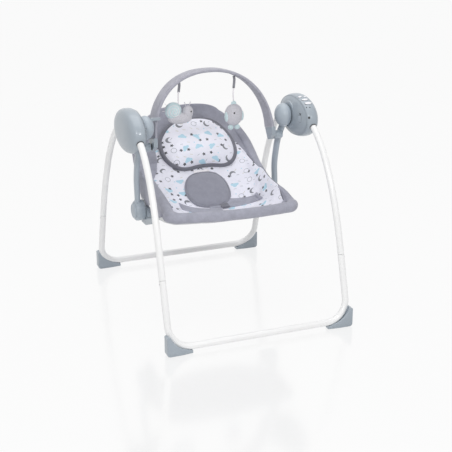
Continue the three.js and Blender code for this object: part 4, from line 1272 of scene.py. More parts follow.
def slab_object(name, top, bottom):
    """A closed slab between two grids of the same shape, with its outline closed by quads."""
    rows, columns = top.shape[:2]
    points = np.concatenate([top.reshape(-1, 3), bottom.reshape(-1, 3)])
    uv = surface_uv(top).reshape(-1, 2)
    uv = np.concatenate([uv, uv])
    shift = rows * columns
    faces = list(grid_faces(rows, columns, False))
    faces += [f[::-1] + shift for f in grid_faces(rows, columns, False)]
    index = np.arange(rows * columns).reshape(rows, columns)
    border = outline_of(index)
    following = np.roll(border, -1)
    faces += list(np.stack([following, border, border + shift, following + shift], axis=-1))
    faces = [np.array(f) for f in faces]
    if volume_of(points, faces) < 0:
        faces = [f[::-1] for f in faces]
    return make_mesh(name, points, faces, uv, crease=60.0)


def puff(obj, anchors, reach, cap, voxel=5.0):
    """Swells a padded piece as cloth under pressure and lets no point move more than the cap.

    The skin is first rebuilt from even voxels. Points within reach of an anchor stay still.
    """
    pressure = 4.0
    last_step = 20
    scene = bpy.context.scene
    remesh = obj.modifiers.new("Even", "REMESH")
    remesh.mode = "VOXEL"
    remesh.voxel_size = voxel * MM
    bake_modifiers(obj)
    start = points_of(obj)
    nearest = np.full(len(start), np.inf)
    for part in np.array_split(anchors * MM, max(1, len(anchors) // 200)):
        gap = np.linalg.norm(start[:, None] - part[None], axis=-1)
        nearest = np.minimum(nearest, gap.min(axis=1))
    still = obj.vertex_groups.new(name="still")
    still.add(np.nonzero(nearest < reach * MM)[0].tolist(), 1.0, "ADD")
    cloth = obj.modifiers.new("Puff", "CLOTH")
    cloth.settings.use_pressure = True
    cloth.settings.uniform_pressure_force = pressure
    cloth.settings.effector_weights.gravity = 0.0
    cloth.settings.vertex_group_mass = "still"
    cloth.point_cache.frame_start = 1
    cloth.point_cache.frame_end = last_step
    for step in range(1, last_step + 1):
        scene.frame_set(step)
    bake_modifiers(obj)
    scene.frame_set(1)
    moved = points_of(obj) - start
    length = np.linalg.norm(moved, axis=1, keepdims=True)
    moved *= np.minimum(1.0, cap * MM / np.maximum(length, 1e-9))
    obj.data.vertices.foreach_set("co", (start + moved).ravel())
    obj.vertex_groups.clear()
    obj.data.polygons.foreach_set("use_smooth", [True] * len(obj.data.polygons))
    obj.data.update()
    return obj


def swollen_levels():
    """Smoothing of a swollen piece: one level."""
    return 1


def lay_flat(obj, lean):
    """Gives a piece print coordinates: x across and the distance up a slope of that lean."""
    points = points_of(obj)
    flat = np.stack([points[:, 0], points[:, 1] * cos(lean) + points[:, 2] * sin(lean)], axis=-1)
    lay_uv(obj.data, flat)


def bake_modifiers(obj):
    """Replaces the object's mesh by what its modifiers make of it."""
    graph = bpy.context.evaluated_depsgraph_get()
    graph.update()
    mesh = bpy.data.meshes.new_from_object(obj.evaluated_get(graph))
    obj.modifiers.clear()
    old = obj.data
    obj.data = mesh
    bpy.data.meshes.remove(old)


def seat_side(v, side):
    """Rolled rim and hanging skirt of one side, from the lining's edge down to the skirt's foot.

    The rim is a half round between the lining's edge and the outer edge. The skirt hangs from
    it with soft folds that deepen downwards.
    """
    rim = rim_line(v[:, 0], side)[:, None]
    band = rim_band(v, side)
    turn = np.linspace(0.12, pi - 0.1, 9)[None, :]
    roll_x = rim[..., 0] - band / 2 - np.cos(turn) * band / 2
    roll_z = rim[..., 2] + 0.27 * band * np.sin(turn)
    roll = np.stack([roll_x, np.broadcast_to(rim[..., 1], roll_x.shape), roll_z], axis=-1)
    fall = np.linspace(0.08, 1.0, 12)[None, :]
    fold = ripple(v * 34.0, fall * 3.0, 11 if side > 0 else 12) * fall * 2.6
    skirt_x = rim[..., 0] + 1.5 * np.sin(pi * fall) + fold - 2.0 * fall
    skirt_y = np.broadcast_to(rim[..., 1], fold.shape)
    extra = 0.0 if side > 0 else LEFT_DROP * np.exp(-(((v - 0.49) / 0.11) ** 2))
    skirt = np.stack([skirt_x, skirt_y, rim[..., 2] - fall * (skirt_depth(v) + extra)], axis=-1)
    return np.concatenate([roll, skirt], axis=1) * [side, 1, 1]


def seat_section(v, inner):
    """One closed section of the seat per v: lining, both sides and the underside.

    The underside follows the floor at the cloth's thickness, out to where the skirts end.
    """
    count_under = 26
    v = v[:, None]
    lining = bucket(inner[None, :], v, 0.0)
    right = seat_side(v, 1.0)
    left = seat_side(v, -1.0)
    depth = skirt_depth(v)
    drop = np.maximum(rim_line(v[:, 0])[:, 2] - floor_line(v[:, 0])[:, 2], 1.0)
    rise = np.maximum(0.06, 1 - depth[:, 0] / drop)
    last = np.arccos((1 - rise) ** (1 / SECTION_POWER)) / (pi / 2)
    thick = 6.0 + 14.0 * np.sqrt(np.maximum(0.0, 1 - v / 0.22))
    spread = np.linspace(-1, 1, count_under)[None, :]
    under = bucket(spread * last[:, None], v, -thick)
    tuck = np.linspace(0, 1, 7)[None, 1:-1, None]
    right_tuck = right[:, -1:] + (under[:, -1:] - right[:, -1:]) * tuck
    left_tuck = under[:, :1] + (left[:, -1:] - under[:, :1]) * tuck
    return np.concatenate(
        [lining, right, right_tuck, under[:, ::-1], left_tuck, left[:, ::-1]], axis=1
    )


def build_seat_shell():
    """Padded bucket of the seat, its outer face drawn in to the lining at the head and at the toe."""
    v = np.concatenate([[0.0, 0.004, 0.014], np.linspace(0.03, 1.0, 70)])
    inner = np.linspace(-1, 1, 61)
    rings = seat_section(v, inner)
    outer = rings[:, len(inner) :]
    closed = bucket(np.linspace(1, -1, outer.shape[1])[None, :], v[:, None], 0.0)
    draw = np.interp(v, [0, 0.004, 0.014, 0.03, 0.97, 1], [0.97, 0.62, 0.3, 0, 0, 0.9])
    rings[:, len(inner) :] = outer + (closed - outer) * draw[:, None, None]
    piece = loft("seat_shell_skin", rings, crease=70.0)
    finish_piece(piece, "seat", MATERIALS["seat_cloth"], ["seat_shell"], padded=0.3)
    # The back lining's darker cloth is painted shade on the inside of the seat's back.
    across = np.linspace(-0.985, 0.985, 61)[None, :]
    down = np.linspace(0.012, 0.34, 26)[:, None]
    back = slab_object("seat_back_shaded_lining", bucket(across, down, 0.9), bucket(across, down, 0.2))
    finish_piece(back, "seat", MATERIALS["lining"], padded=0.2)
    build_apron()
    sleeve = tube("seat_back_sleeve", back_tube_curve(np.linspace(0.13, 0.87, 120)), 10.2, 24)
    finish_piece(sleeve, "seat", MATERIALS["seat_cloth"], padded=0.3)


BACK_TUBE = (
    (196, 60, 272), (195, 84, 300), (192, 122, 346), (189, 165, 380), (182, 213, 403),
    (171, 249, 441), (150, 271, 474), (118, 284, 500), (70, 287, 517),
)


def back_tube_curve(t):
    """The seat's back tube: up its right side, over the middle and down its left side."""
    right = np.array(BACK_TUBE, dtype=float)
    middle = np.array([[0.0, 287.0, 524.0]])
    return smooth_curve(np.concatenate([right, middle, (right * [-1, 1, 1])[::-1]]), t)


def build_apron():
    """Front apron: cloth that rises from the seat's floor edge and folds over the front sleeve."""
    u = np.linspace(-0.97, 0.97, 61)
    start = bucket(u, 0.93, 0.8)
    end = front_tube_curve(0.5 - 0.262 * u)
    end[:, 2] += 12.0
    end[:, 1] += 9.0
    t = np.linspace(0, 1, 16)[:, None, None]
    sag = -7.0 * np.sin(pi * t) * (1 - np.abs(u)[None, :, None] ** 4)
    top = start[None] * (1 - t) + end[None] * t + sag * np.array([0.0, 0.0, 1.0])
    top[..., 2] += ripple(u[None, :] * 9.0, t[..., 0] * 3.0, 41) * 0.8
    apron = slab_object("front_apron", top, top - [0.0, 0.0, 3.0])
    finish_piece(apron, "seat", MATERIALS["seat_cloth"], padded=0.2)


def liner_reach(v, side):
    """How far the printed liner reaches up a side wall, as a share of the wall."""
    if side > 0:
        return np.interp(v, [0.26, 0.32, 0.42, 0.86, 0.955], [0.66, 0.80, 0.975, 0.975, 0.86])
    places = [0.26, 0.33, 0.40, 0.46, 0.53, 0.60, 0.68, 0.955]
    return np.interp(v, places, [0.42, 0.44, 0.52, 0.68, 0.78, 0.73, 0.60, 0.52])


def fold_over(points, v, share, lift):
    """Carries the liner's right edge over the rolled rim, up to its crest."""
    rim = rim_line(v, 1.0)
    band = rim_band(v, 1.0)
    turn = 0.12 + 1.5 * np.clip((share - 0.86) / 0.14, 0, 1)
    x = rim[..., 0] - band / 2 * (1 + np.cos(turn))
    z = rim[..., 2] + 0.27 * band * np.sin(turn) + lift
    over = np.stack([x, np.broadcast_to(rim[..., 1], x.shape), z], axis=-1)
    weight = smoothstep(v, 0.42, 0.58) * (1 - smoothstep(v, 0.80, 0.90))
    weight = weight * smoothstep(share, 0.82, 0.92)
    return points + (over - points) * weight[..., None]


def build_liner():
    """Printed liner: crowned channels with wrinkles that deepen towards the side walls."""
    share = np.linspace(-1, 1, 91)[None, :]
    low, high = 0.26, 0.955
    v = np.linspace(low, high, 92)[:, None]
    u = share * np.where(share > 0, liner_reach(v, 1.0), liner_reach(v, -1.0))
    along = (2 * v - low - high) / (high - low)
    side_edge = np.sqrt(np.clip(1 - np.abs(share) ** 12, 0, 1))
    end_edge = np.sqrt(np.clip(1 - np.abs(along) ** 14, 0, 1))
    edge = side_edge * end_edge
    wrinkle = ripple(u * 11.0, v * 30.0, 5) * (0.9 + 3.4 * u**2)
    top = bucket(u, v, LINER * edge + 1.0 + wrinkle * edge)
    top = fold_over(top, v, share, 2.6)
    bottom = fold_over(bucket(u, v, 0.7), v, share, 0.7)
    piece = slab_object("seat_liner_skin", top, bottom)
    finish_piece(piece, "seat", MATERIALS["print_cloth"], ["seat_liner"], padded=0.4)
    edge_line = (top[12:, -1] + bottom[12:, -1]) / 2
    piping = tube("liner_piping", edge_line, 1.5, 12)
    finish_piece(piping, "seat", MATERIALS["piping"])


def cushion_grid(v0, v1, half_width, base, crown, notch=0.0):
    """A cushion on the liner over a disc mapped to its outline.

    The outline is half_width(w) either side at w from 0 to 1 along v; each point is lifted by
    base plus crown times the fourth-root fall-off towards the outline.
    """
    count = 49
    a = np.linspace(-1, 1, count)[None, :]
    b = np.linspace(-1, 1, count)[:, None]
    disc_a = a * np.sqrt(1 - b * b / 2)
    disc_b = b * np.sqrt(1 - a * a / 2)
    radius = np.sqrt(disc_a**2 + disc_b**2)
    w = (disc_b + 1) / 2
    v = v0 + (v1 - v0) * w - notch * np.clip(disc_b, 0, 1) ** 3 * np.exp(-((disc_a / 0.35) ** 2))
    u = disc_a * half_width(disc_b)
    dome = np.clip(1 - radius**3.0, 0, 1) ** 0.6
    under = 2.2 + (base - 2.2) * smoothstep(v, 0.2, 0.28)
    top = bucket(u, v, base + 4.0 + crown * dome)
    bottom = bucket(u, v, under)
    return top, bottom


def outline_of(grid):
    """The border of a grid as one closed ring."""
    return np.concatenate([grid[0, :-1], grid[:-1, -1], grid[-1, :0:-1], grid[:0:-1, 0]])


def ring_tube(name, ring, radius, sides=14):
    """A closed round cord along a closed ring of points."""
    ahead = unit(np.roll(ring, -1, axis=0) - np.roll(ring, 1, axis=0))
    centre = ring.mean(axis=0)
    away = ring - centre
    first = unit(away - np.sum(away * ahead, axis=1, keepdims=True) * ahead)
    second = np.cross(ahead, first)
    angle = np.linspace(0, 2 * pi, sides, endpoint=False)
    outward = np.cos(angle)[None, :, None] * first[:, None]
    outward = outward + np.sin(angle)[None, :, None] * second[:, None]
    skin = ring[:, None] + radius * outward
    points = skin.reshape(-1, 3)
    faces = grid_faces(len(ring) + 1, sides, True) % len(points)
    if volume_of(points, faces) < 0:
        faces = faces[:, ::-1]
    return make_mesh(name, points, faces)


def even_ring(ring, count, smooth=6):
    """The same closed ring with points at even distances, slightly rounded."""
    for _ in range(smooth):
        ring = (np.roll(ring, 1, axis=0) + 2 * ring + np.roll(ring, -1, axis=0)) / 4
    closed = np.concatenate([ring, ring[:1]])
    step = np.linalg.norm(np.diff(closed, axis=0), axis=1)
    place = np.concatenate([[0], np.cumsum(step)])
    wanted = np.linspace(0, place[-1], count, endpoint=False)
    return np.stack([np.interp(wanted, place, closed[:, k]) for k in range(3)], axis=-1)


def pillow_width(b):
    """Half width of the head pillow: a wide bean, a little narrower at the top."""
    return 0.50 + 0.04 * b


def pad_width(b):
    """Half width of the crotch pad, rounded and slightly wider at the top."""
    return 0.213 - 0.014 * b


PILLOW_SHIFT = np.array([16.0, 0.0, 0.0])


def build_pillow():
    """Bean-shaped head pillow, swollen as cloth, with a thick cord sewn round its edge."""
    top, bottom = cushion_grid(
        0.115, 0.425, pillow_width, LINER + 1.2, chosen("pillow_crown"), 0.03
    )
    top = top + PILLOW_SHIFT
    bottom = bottom + PILLOW_SHIFT
    ring = even_ring(outline_of(top * 0.6 + bottom * 0.4), 160)
    pillow = slab_object("head_pillow_skin", top, bottom)
    pillow = puff(pillow, np.concatenate([ring, bottom.reshape(-1, 3)[::3]]), 9.0, 5.0)
    lay_flat(pillow, radians(55.0))
    finish_piece(
        pillow,
        "seat",
        MATERIALS["print_cloth"],
        ["head_pillow"],
        levels=swollen_levels(),
        padded=0.7,
    )
    piping = ring_tube("head_pillow_piping", ring, chosen("pillow_piping"))
    finish_piece(piping, "seat", MATERIALS["piping"])


def build_pad():
    """Egg-shaped crotch pad, swollen as cloth, with a cord round its edge and a bare label."""
    top, bottom = cushion_grid(0.434, 0.668, pad_width, LINER + 1.2, chosen("pad_crown"))
    ring = even_ring(outline_of(top * 0.6 + bottom * 0.4), 120)
    pad = slab_object("crotch_pad_skin", top, bottom)
    pad = puff(pad, np.concatenate([ring, bottom.reshape(-1, 3)[::3]]), 7.0, 4.0, voxel=4.0)
    finish_piece(
        pad,
        "seat",
        MATERIALS["pad_cloth"],
        ["crotch_pad"],
        levels=swollen_levels(),
        padded=0.6,
    )
    piping = ring_tube("crotch_pad_piping", ring, chosen("pad_piping"))
    finish_piece(piping, "seat", MATERIALS["strap"])
    u = np.linspace(-0.055, 0.055, 12)[None, :]
    v = np.linspace(0.418, 0.445, 10)[:, None]
    label = slab_object("bare_label", bucket(u, v, LINER + 3.4), bucket(u, v, LINER + 1.5))
    finish_piece(label, "seat", MATERIALS["white_ribbon"])


def strap_grid(side, reach, middle, half, lift, thick, count=40):
    """A flat strap on the liner, from the first to the second reach across, its width along v.

    The middle and the half width are each a start and a change over the strap's length.
    """
    u = np.linspace(*reach, count)[None, :] * side
    b = np.linspace(-1, 1, 13)[:, None]
    t = np.linspace(0, 1, count)
    v = (middle[0] + middle[1] * t) + (half[0] + half[1] * t) * b
    edge = np.sqrt(np.clip(1 - b**8, 0, 1))
    top = bucket(u, v, lift + thick * edge)
    bottom = bucket(u, v, lift - 1.0)
    return top, bottom


def build_straps():
    """Waist straps that meet under the pad, the right one's adjuster, and the pad's tab."""
    cloth = MATERIALS["seat_cloth"]
    lines = (
        ("right", 1.0, (-0.03, 0.66), (0.64, 0.08), (0.052, -0.010), 2.5),
        ("left", -1.0, (-0.03, 0.40), (0.745, -0.08), (0.046, -0.004), 1.8),
    )
    for side, x, reach, middle, half, lift in lines:
        grids = strap_grid(x, reach, middle, half, LINER + lift, 3.0)
        strap = slab_object(f"{side}_waist_strap_skin", *grids)
        finish_piece(strap, "seat", cloth, [f"{side}_waist_strap"], padded=0.2)
    grids = strap_grid(1.0, (0.60, 0.67), (0.718, 0.0), (0.048, 0.0), LINER + 5.5, 3.0, 12)
    finish_piece(slab_object("strap_adjuster", *grids), "seat", cloth)
    grids = strap_grid(1.0, (0.04, 0.12), (0.69, 0.0), (0.032, 0.0), LINER + 6.0, 2.5, 12)
    finish_piece(slab_object("crotch_tab", *grids), "seat", MATERIALS["piping"])


# The front tube's right points: inset from the seat's half width, Y, and height over the recline
# axis.
FRONT_TUBE = (
    (6, 34, -12),
    (6.5, -10, 1),
    (7.5, -60, 16),
    (5, -112, 25),
    (17, -141, 26.5),
    (63, -155, 26.5),
)


def front_tube_curve(t):
    """The seat's front tube: through its right points, the middle and the mirrored left points."""
    right = np.array([(SEAT_HALF - a, y, RECLINE_Z + z) for a, y, z in FRONT_TUBE], dtype=float)
    middle = np.array([[0.0, -166.0, RECLINE_Z + 26.0]])
    left = (right * [-1, 1, 1])[::-1]
    return smooth_curve(np.concatenate([right, middle, left]), t)


def build_front_roll():
    """Padded sleeve round the front tube, full in the middle and drawn in at the corners."""
    t = np.linspace(0.235, 0.765, 120)
    path = front_tube_curve(t)
    share = (t - t[0]) / (t[-1] - t[0])
    ends = np.minimum(share, 1 - share)
    size = chosen("roll_radius") * np.sqrt(np.clip(ends / 0.08, 0.02, 1))
    path[:, 2] += 7.5 - 5.0 * path[:, 0] / 200.0
    first, second = frames_along(path, np.array([0.0, 0.0, 1.0]))
    angle = np.linspace(0, 2 * pi, 44, endpoint=False)
    wrinkle = 1 + 0.035 * ripple(share[:, None] * 40.0, angle[None, :] * 1.5, 21)
    radius = size[:, None] * wrinkle
    rings = swept_rings(path, first, second, radius * np.cos(angle), radius * np.sin(angle))
    piece = loft("front_roll_skin", rings, crease=80.0)
    piece = puff(piece, path[[0, 1, -2, -1]], 24.0, 3.0)
    finish_piece(
        piece,
        "seat",
        MATERIALS["seat_cloth"],
        ["front_roll"],
        levels=swollen_levels(),
        padded=0.8,
    )
    for side, x in SIDES:
        wing = front_wing(f"{side}_front_wing", x)
        finish_piece(wing, "seat", MATERIALS["seat_cloth"], padded=0.4)


def front_wing(name, x):
    """Padded corner where a side wall's rim runs down and round into the front sleeve."""
    if x > 0:
        line = [(193, -46, 331), (195, -74, 325), (195, -100, 317), (192, -126, 310)]
        line += [(179, -147, 310), (146, -155, 310)]
    else:
        line = [(190, -30, 343), (190, -70, 337), (191, -100, 330), (189, -126, 321)]
        line += [(177, -146, 318), (146, -154, 317.5)]
    knots = np.array(line, dtype=float)
    t = np.linspace(0, 1, 60)
    path = smooth_curve(knots, t) * [x, 1, 1]
    start = 8.5 if x > 0 else 12.6
    size = np.interp(t, [0, 0.4, 0.72, 1], [start, start + 2.5, 17.6, 14.5])
    size = size * np.sqrt(np.clip(np.minimum(t, 1 - t) / 0.04, 0.05, 1))
    first, second = frames_along(path, np.array([0.0, 0.0, 1.0]))
    angle = np.linspace(0, 2 * pi, 40, endpoint=False)
    radius = size[:, None] * (1 + 0.03 * ripple(t[:, None] * 14.0, angle[None, :] * 1.4, 23))
    rings = swept_rings(path, first, second, radius * np.cos(angle), radius * np.sin(angle))
    return loft(name, rings, crease=80.0)


# ------------------------------------------------------------------ toy bar and toys


def arch_point(turn, across, off):
    """A point of the toy bar: turned from foot to foot, across the band and off its middle.

    The arch is |sin|^0.89 sideways and cos^0.98 upwards, leaning back; the band flares like a
    cone so that its normal tips with the cosine of the turn.
    """
    turn, across, off = np.broadcast_arrays(
        np.asarray(turn, float), np.asarray(across, float), np.asarray(off, float)
    )
    up = np.array([0.0, sin(BAR_LEAN), cos(BAR_LEAN)])
    back = np.array([0.0, cos(BAR_LEAN), -sin(BAR_LEAN)])
    side = np.array([1.0, 0.0, 0.0])
    c, s = np.clip(np.cos(turn), 0, 1), np.sin(turn)
    centre = (np.sign(turn) * np.abs(s) ** 0.89 * BAR_X)[..., None] * side
    centre = centre + (c**0.98 * BAR_RISE)[..., None] * up
    radial = s[..., None] * side + c[..., None] * up
    tip = (sin(BAR_CONE) * c)[..., None]
    width = back * cos(BAR_CONE) + radial * tip
    normal = radial * cos(BAR_CONE) - back * tip
    return BAR_FOOT + centre + width * across[..., None] + normal * off[..., None]


def build_toy_bar():
    """Sleeve of the toy bar: a flat padded band with rounded hems and a stitched edge."""
    turn = np.radians(np.linspace(-89.9, 89.9, 150))[:, None]
    angle = np.linspace(0, 2 * pi, 56, endpoint=False)[None, :]
    c, s = np.cos(angle), np.sin(angle)
    across = np.sign(c) * np.abs(c) ** 0.45 * chosen("band_width") / 2
    off = np.sign(s) * np.abs(s) ** 0.5 * 5.0
    groove = 1 - 0.28 * np.exp(-(((np.abs(across) - 24.5) / 1.1) ** 2))
    off = off * groove * (1 + 0.06 * ripple(turn * 16.0, angle, 31))
    rings = arch_point(turn, across, off)
    band = loft("toy_bar_sleeve", rings, crease=80.0)
    finish_piece(band, "toy_bar", MATERIALS["bar_cloth"], ["toy_bar_band"], padded=0.3)
    # Painted shade: flat dark boxes at the bar's ends stand for the shade inside its slots.
    slots = [soft_box("slot", (x * 192.0, 18.0, 487.0), (0.8, 6.0, 9.0)) for x in (-1.0, 1.0)]
    slot = join_objects("toy_bar_slot_shade", slots)
    finish_piece(slot, "toy_bar", MATERIALS["dark_plastic"])


def ribbon(name, path, width, across=(1.0, 0.0, 0.0)):
    """A flat ribbon along a path, its width lying along the across direction."""
    thick = 0.7
    first, second = frames_along(path, np.array(across))
    corners = np.array([(-1, -1), (0, -1.0), (1, -1), (1, 1), (0, 1.0), (-1, 1)], dtype=float)
    wide = corners[:, 0] * width / 2
    deep = corners[:, 1] * thick / 2
    return loft(name, swept_rings(path, first, second, wide, deep), crease=60.0)


def hang_point(turn_degrees):
    """Where a toy's ribbon meets the inside of the band."""
    return arch_point(np.radians(turn_degrees), 0.0, -4.5)


def ribbon_path(top, bottom, sway):
    """A nearly straight path with a slight sway to one side."""
    t = np.linspace(0, 1, 24)[:, None]
    return top + (bottom - top) * t + np.array([sway, 0.0, 0.0]) * np.sin(pi * t) * (1 - t)


def hanger(toy, top, bottom):
    """A toy's hanger: a dark loop sewn to the band and a pale ribbon down to the toy."""
    joint = top + (bottom - top) * 0.42
    loop = ribbon(f"{toy}_loop", ribbon_path(top, joint, 3.0), 8.0)
    lower = ribbon(f"{toy}_ribbon", ribbon_path(joint + [0.0, 0.0, 2.0], bottom, -3.0), 4.0)
    return (loop, "ribbon"), (lower, "white_ribbon")


def place_toy(body, parts, node):
    """Gives each part of a toy its material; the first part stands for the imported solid."""
    for i, (piece, material) in enumerate(parts):
        nodes = [node] if i == 0 else ()
        finish_piece(piece, body, MATERIALS[material], nodes, padded=0.9 if i == 0 else None)


def build_bird():
    """Hanging bird: round body, mint wings, feet and tuft, an eye and a beak."""
    hang = hang_point(25.2)
    middle = hang + [0.0, 0.0, -120.0]
    parts = [
        (egg("bird_body", (28.5, 20.0, 33.0), middle, 2.1), "plush_grey"),
        *hanger("bird", hang + [0, 0, -1.5], middle + [0, 0, 29]),
    ]
    for side, x in reversed(SIDES):
        place = middle + [25.0 * x, -4.0, -4.0]
        wing = egg(f"bird_wing_{side}", (5.5, 8.0, 15.5), place, 2.0, 24, 16)
        parts.append((wing, "plush_mint"))
    for side, x in reversed(SIDES):
        place = middle + [10.5 * x, -2.0, -38.0]
        foot = egg(f"bird_foot_{side}", (9.0, 7.5, 8.0), place, 2.0, 24, 14)
        parts.append((foot, "plush_mint"))
    tuft = [
        egg(f"tuft{k}", (3.2, 3.0, 7.0), middle + [dx, 0.0, 35.0 + dz], 2.0, 20, 12)
        for k, (dx, dz) in enumerate(((-5.0, -1.0), (0.0, 2.0), (5.0, -1.0)))
    ]
    parts.append((join_objects("bird_tuft", tuft), "plush_mint"))
    eye = egg("bird_eye", (3.1, 2.4, 3.1), middle + [-5.0, -18.0, 9.0], 2.0, 20, 12)
    parts.append((eye, "bead"))
    beak = egg("bird_beak", (2.4, 3.0, 2.0), middle + [4.0, -19.4, 5.0], 2.0, 20, 12)
    parts.append((beak, "plush_grey"))
    place_toy("bird", parts, "bird_toy")


def build_snail():
    """Hanging snail: body, head and horns, a mint shell with a pale spiral, and ribbon tags."""
    hang = hang_point(-27.2)
    middle = hang + [-12.0, -4.0, -96.0]
    shell_centre = middle + [-8.0, 0.0, 8.0]
    shell = egg("snail_shell", (25.5, 15.5, 25.5), shell_centre, 2.05)
    parts = [
        (egg("snail_body", (37.0, 15.0, 16.5), middle + [13.0, 0.0, -16.0], 2.2), "plush_grey"),
        (shell, "plush_mint"),
        (egg("snail_head", (16.0, 13.0, 20.0), middle + [38.0, 0.0, 0.0], 2.1), "plush_grey"),
        *hanger("snail", hang + [0, 0, -1.5], middle + [10.0, 2.0, 14.0]),
    ]
    turn = np.linspace(0.4, 5.2 * pi, 150)
    radius = 1.6 + 19.0 * (turn / turn[-1])
    x, z = radius * np.cos(turn), radius * np.sin(turn)
    depth = -15.5 * np.clip(1 - (radius / 25.5) ** 2, 0, 1) ** 0.5 - 0.3
    spiral = shell_centre + np.stack([x, depth, z], axis=-1)
    parts.append((tube("snail_spiral", spiral, 0.9, 8), "white_ribbon"))
    eye = egg("snail_eye", (2.8, 2.2, 2.8), middle + [44.0, -11.2, 4.0], 2.0, 20, 12)
    parts.append((eye, "bead"))
    horns = []
    for k, dx in enumerate((-4.0, 5.0)):
        foot = middle + [36.0 + dx, 0.0, 17.0]
        path = foot + np.linspace(0, 1, 10)[:, None] * np.array([dx * 1.1, 0.0, 14.0])
        horns.append(tube(f"horn{k}", path, 1.3, 10))
    parts.append((join_objects("snail_horns", horns), "plush_grey"))
    tags = []
    for k, angle in enumerate((2.4, 2.75, 3.1)):
        start = shell_centre + [21.0 * cos(angle), 0.0, 21.0 * sin(angle)]
        t = np.linspace(0, 1, 12)[:, None]
        reach = np.array([cos(angle), 0.0, sin(angle)]) * 12.0
        path = start + reach * t + np.array([0.0, -2.0, 0.0]) * np.sin(pi * t) * (k - 1)
        tags.append(ribbon(f"tag{k}", path, 5.0, (0.0, 1.0, 0.0)))
    parts.append((join_objects("snail_tags", tags), "white_ribbon"))
    place_toy("snail", parts, "snail_toy")


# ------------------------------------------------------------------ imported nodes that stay

NODE_FINISHES = {
    "dark_plastic": (
        "right_fold_disc", "left_fold_disc", "right_bearing_plate",
        "left_bearing_plate", "speaker", "power_inlet",
    ),
    "white_plastic": ("right_bush", "left_bush", "worm", "worm_wheel"),
    "steel": ("motor", "right_axle", "left_axle", "seat_front_tube", "seat_back_tube"),
    "board": ("circuit_board",),
    "cell": ("battery_1", "battery_2", "battery_3", "battery_4"),
    "plastic": (
        "battery_door", "swing_lock", "right_seat_bracket",
        "left_seat_bracket", "right_toy_bar_end", "left_toy_bar_end",
    ),
}


def dress_packed_nodes():
    """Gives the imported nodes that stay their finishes."""
    for key, names in NODE_FINISHES.items():
        for name in names:
            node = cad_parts[name]
            node.data.materials.clear()
            node.data.materials.append(MATERIALS[key])


# ------------------------------------------------------------------ stage


FLOOR_REACH = 60000.0
FLOOR_DROP = 1.2
LAMP_TARGET = (0.0, 0.0, 0.4)

# Each lamp's name, place and side in metres, and its power in watts.
LAMPS = (
    ("Key softbox", (-1.5, -2.3, 2.1), 0.62, 22.0),
    ("Second softbox", (0.5, -2.8, 2.0), 0.5, 14.0),
    ("Top panel", (0.0, 0.4, 2.8), 2.4, 27.0),
)
CAMERA_PLACE = (-1.113, -2.882, 1.317)
CAMERA_DOWN = 19.48
CAMERA_TURN = -21.675
CAMERA_LENS = 86.14
CAMERA_SENSOR = 36.0


def add_area_light(name, place, size, power):
    """A soft square lamp at place that faces the swing."""
    light = bpy.data.lights.new(name, "AREA")
    light.shape = "RECTANGLE"
    light.size = size
    light.size_y = size
    light.energy = power
    lamp = bpy.data.objects.new(name, light)
    lamp.location = place
    lamp.rotation_euler = look_angles(np.array(LAMP_TARGET) - np.array(place))
    bpy.context.scene.collection.objects.link(lamp)


def look_angles(direction):
    """Euler angles that turn -Z to the direction."""
    x, y, z = direction / np.linalg.norm(direction)
    return (np.arccos(-z), 0.0, np.arctan2(-x, y) if abs(z) < 0.9999 else 0.0)


def shown_rays(tree):
    """1 for a ray from the camera, a reflection or a view through glass, and 0 for light."""
    rays = tree.nodes.new("ShaderNodeLightPath")
    shown = rays.outputs["Is Camera Ray"]
    for kind in ("Is Glossy Ray", "Is Transmission Ray"):
        either = tree.nodes.new("ShaderNodeMath")
        either.operation = "MAXIMUM"
        tree.links.new(shown, either.inputs[0])
        tree.links.new(rays.outputs[kind], either.inputs[1])
        shown = either.outputs[0]
    return shown


def build_stage_world():
    """World: soft light on the swing, and plain white wherever it is seen or mirrored."""
    scene = bpy.context.scene
    world = bpy.data.worlds.new("Studio")
    scene.world = world
    world.use_nodes = True
    tree = world.node_tree
    background = tree.nodes["Background"]
    background.inputs["Color"].default_value = (1.0, 1.0, 1.0, 1.0)
    background.inputs["Strength"].default_value = 0.5
    seen = tree.nodes.new("ShaderNodeBackground")
    seen.inputs["Color"].default_value = (1.0, 1.0, 1.0, 1.0)
    mix = tree.nodes.new("ShaderNodeMixShader")
    tree.links.new(shown_rays(tree), mix.inputs[0])
    tree.links.new(background.outputs[0], mix.inputs[1])
    tree.links.new(seen.outputs[0], mix.inputs[2])
    tree.links.new(mix.outputs[0], tree.nodes["World Output"].inputs[0])


def floor_material():
    """Pale floor: it takes the shadow, reads as white when seen, and mirrors the feet faintly."""
    finish = Finish("Studio floor", (0.93, 0.93, 0.93), 0.22)
    grain = finish.noise(3.0, 2.0)
    finish.feed("Roughness", grain * 0.05 + 0.2)
    tree = finish.tree
    glow = tree.nodes.new("ShaderNodeEmission")
    gloss = tree.nodes.new("ShaderNodeBsdfGlossy")
    gloss.inputs["Roughness"].default_value = 0.12
    polished = tree.nodes.new("ShaderNodeMixShader")
    polished.inputs[0].default_value = 0.14
    tree.links.new(glow.outputs[0], polished.inputs[1])
    tree.links.new(gloss.outputs[0], polished.inputs[2])
    mix = tree.nodes.new("ShaderNodeMixShader")
    share = Wire(finish, shown_rays(tree)) * 0.94
    tree.links.new(share.socket, mix.inputs[0])
    tree.links.new(finish.shader.outputs[0], mix.inputs[1])
    tree.links.new(polished.outputs[0], mix.inputs[2])
    tree.links.new(mix.outputs[0], tree.nodes["Material Output"].inputs[0])
    return finish.material


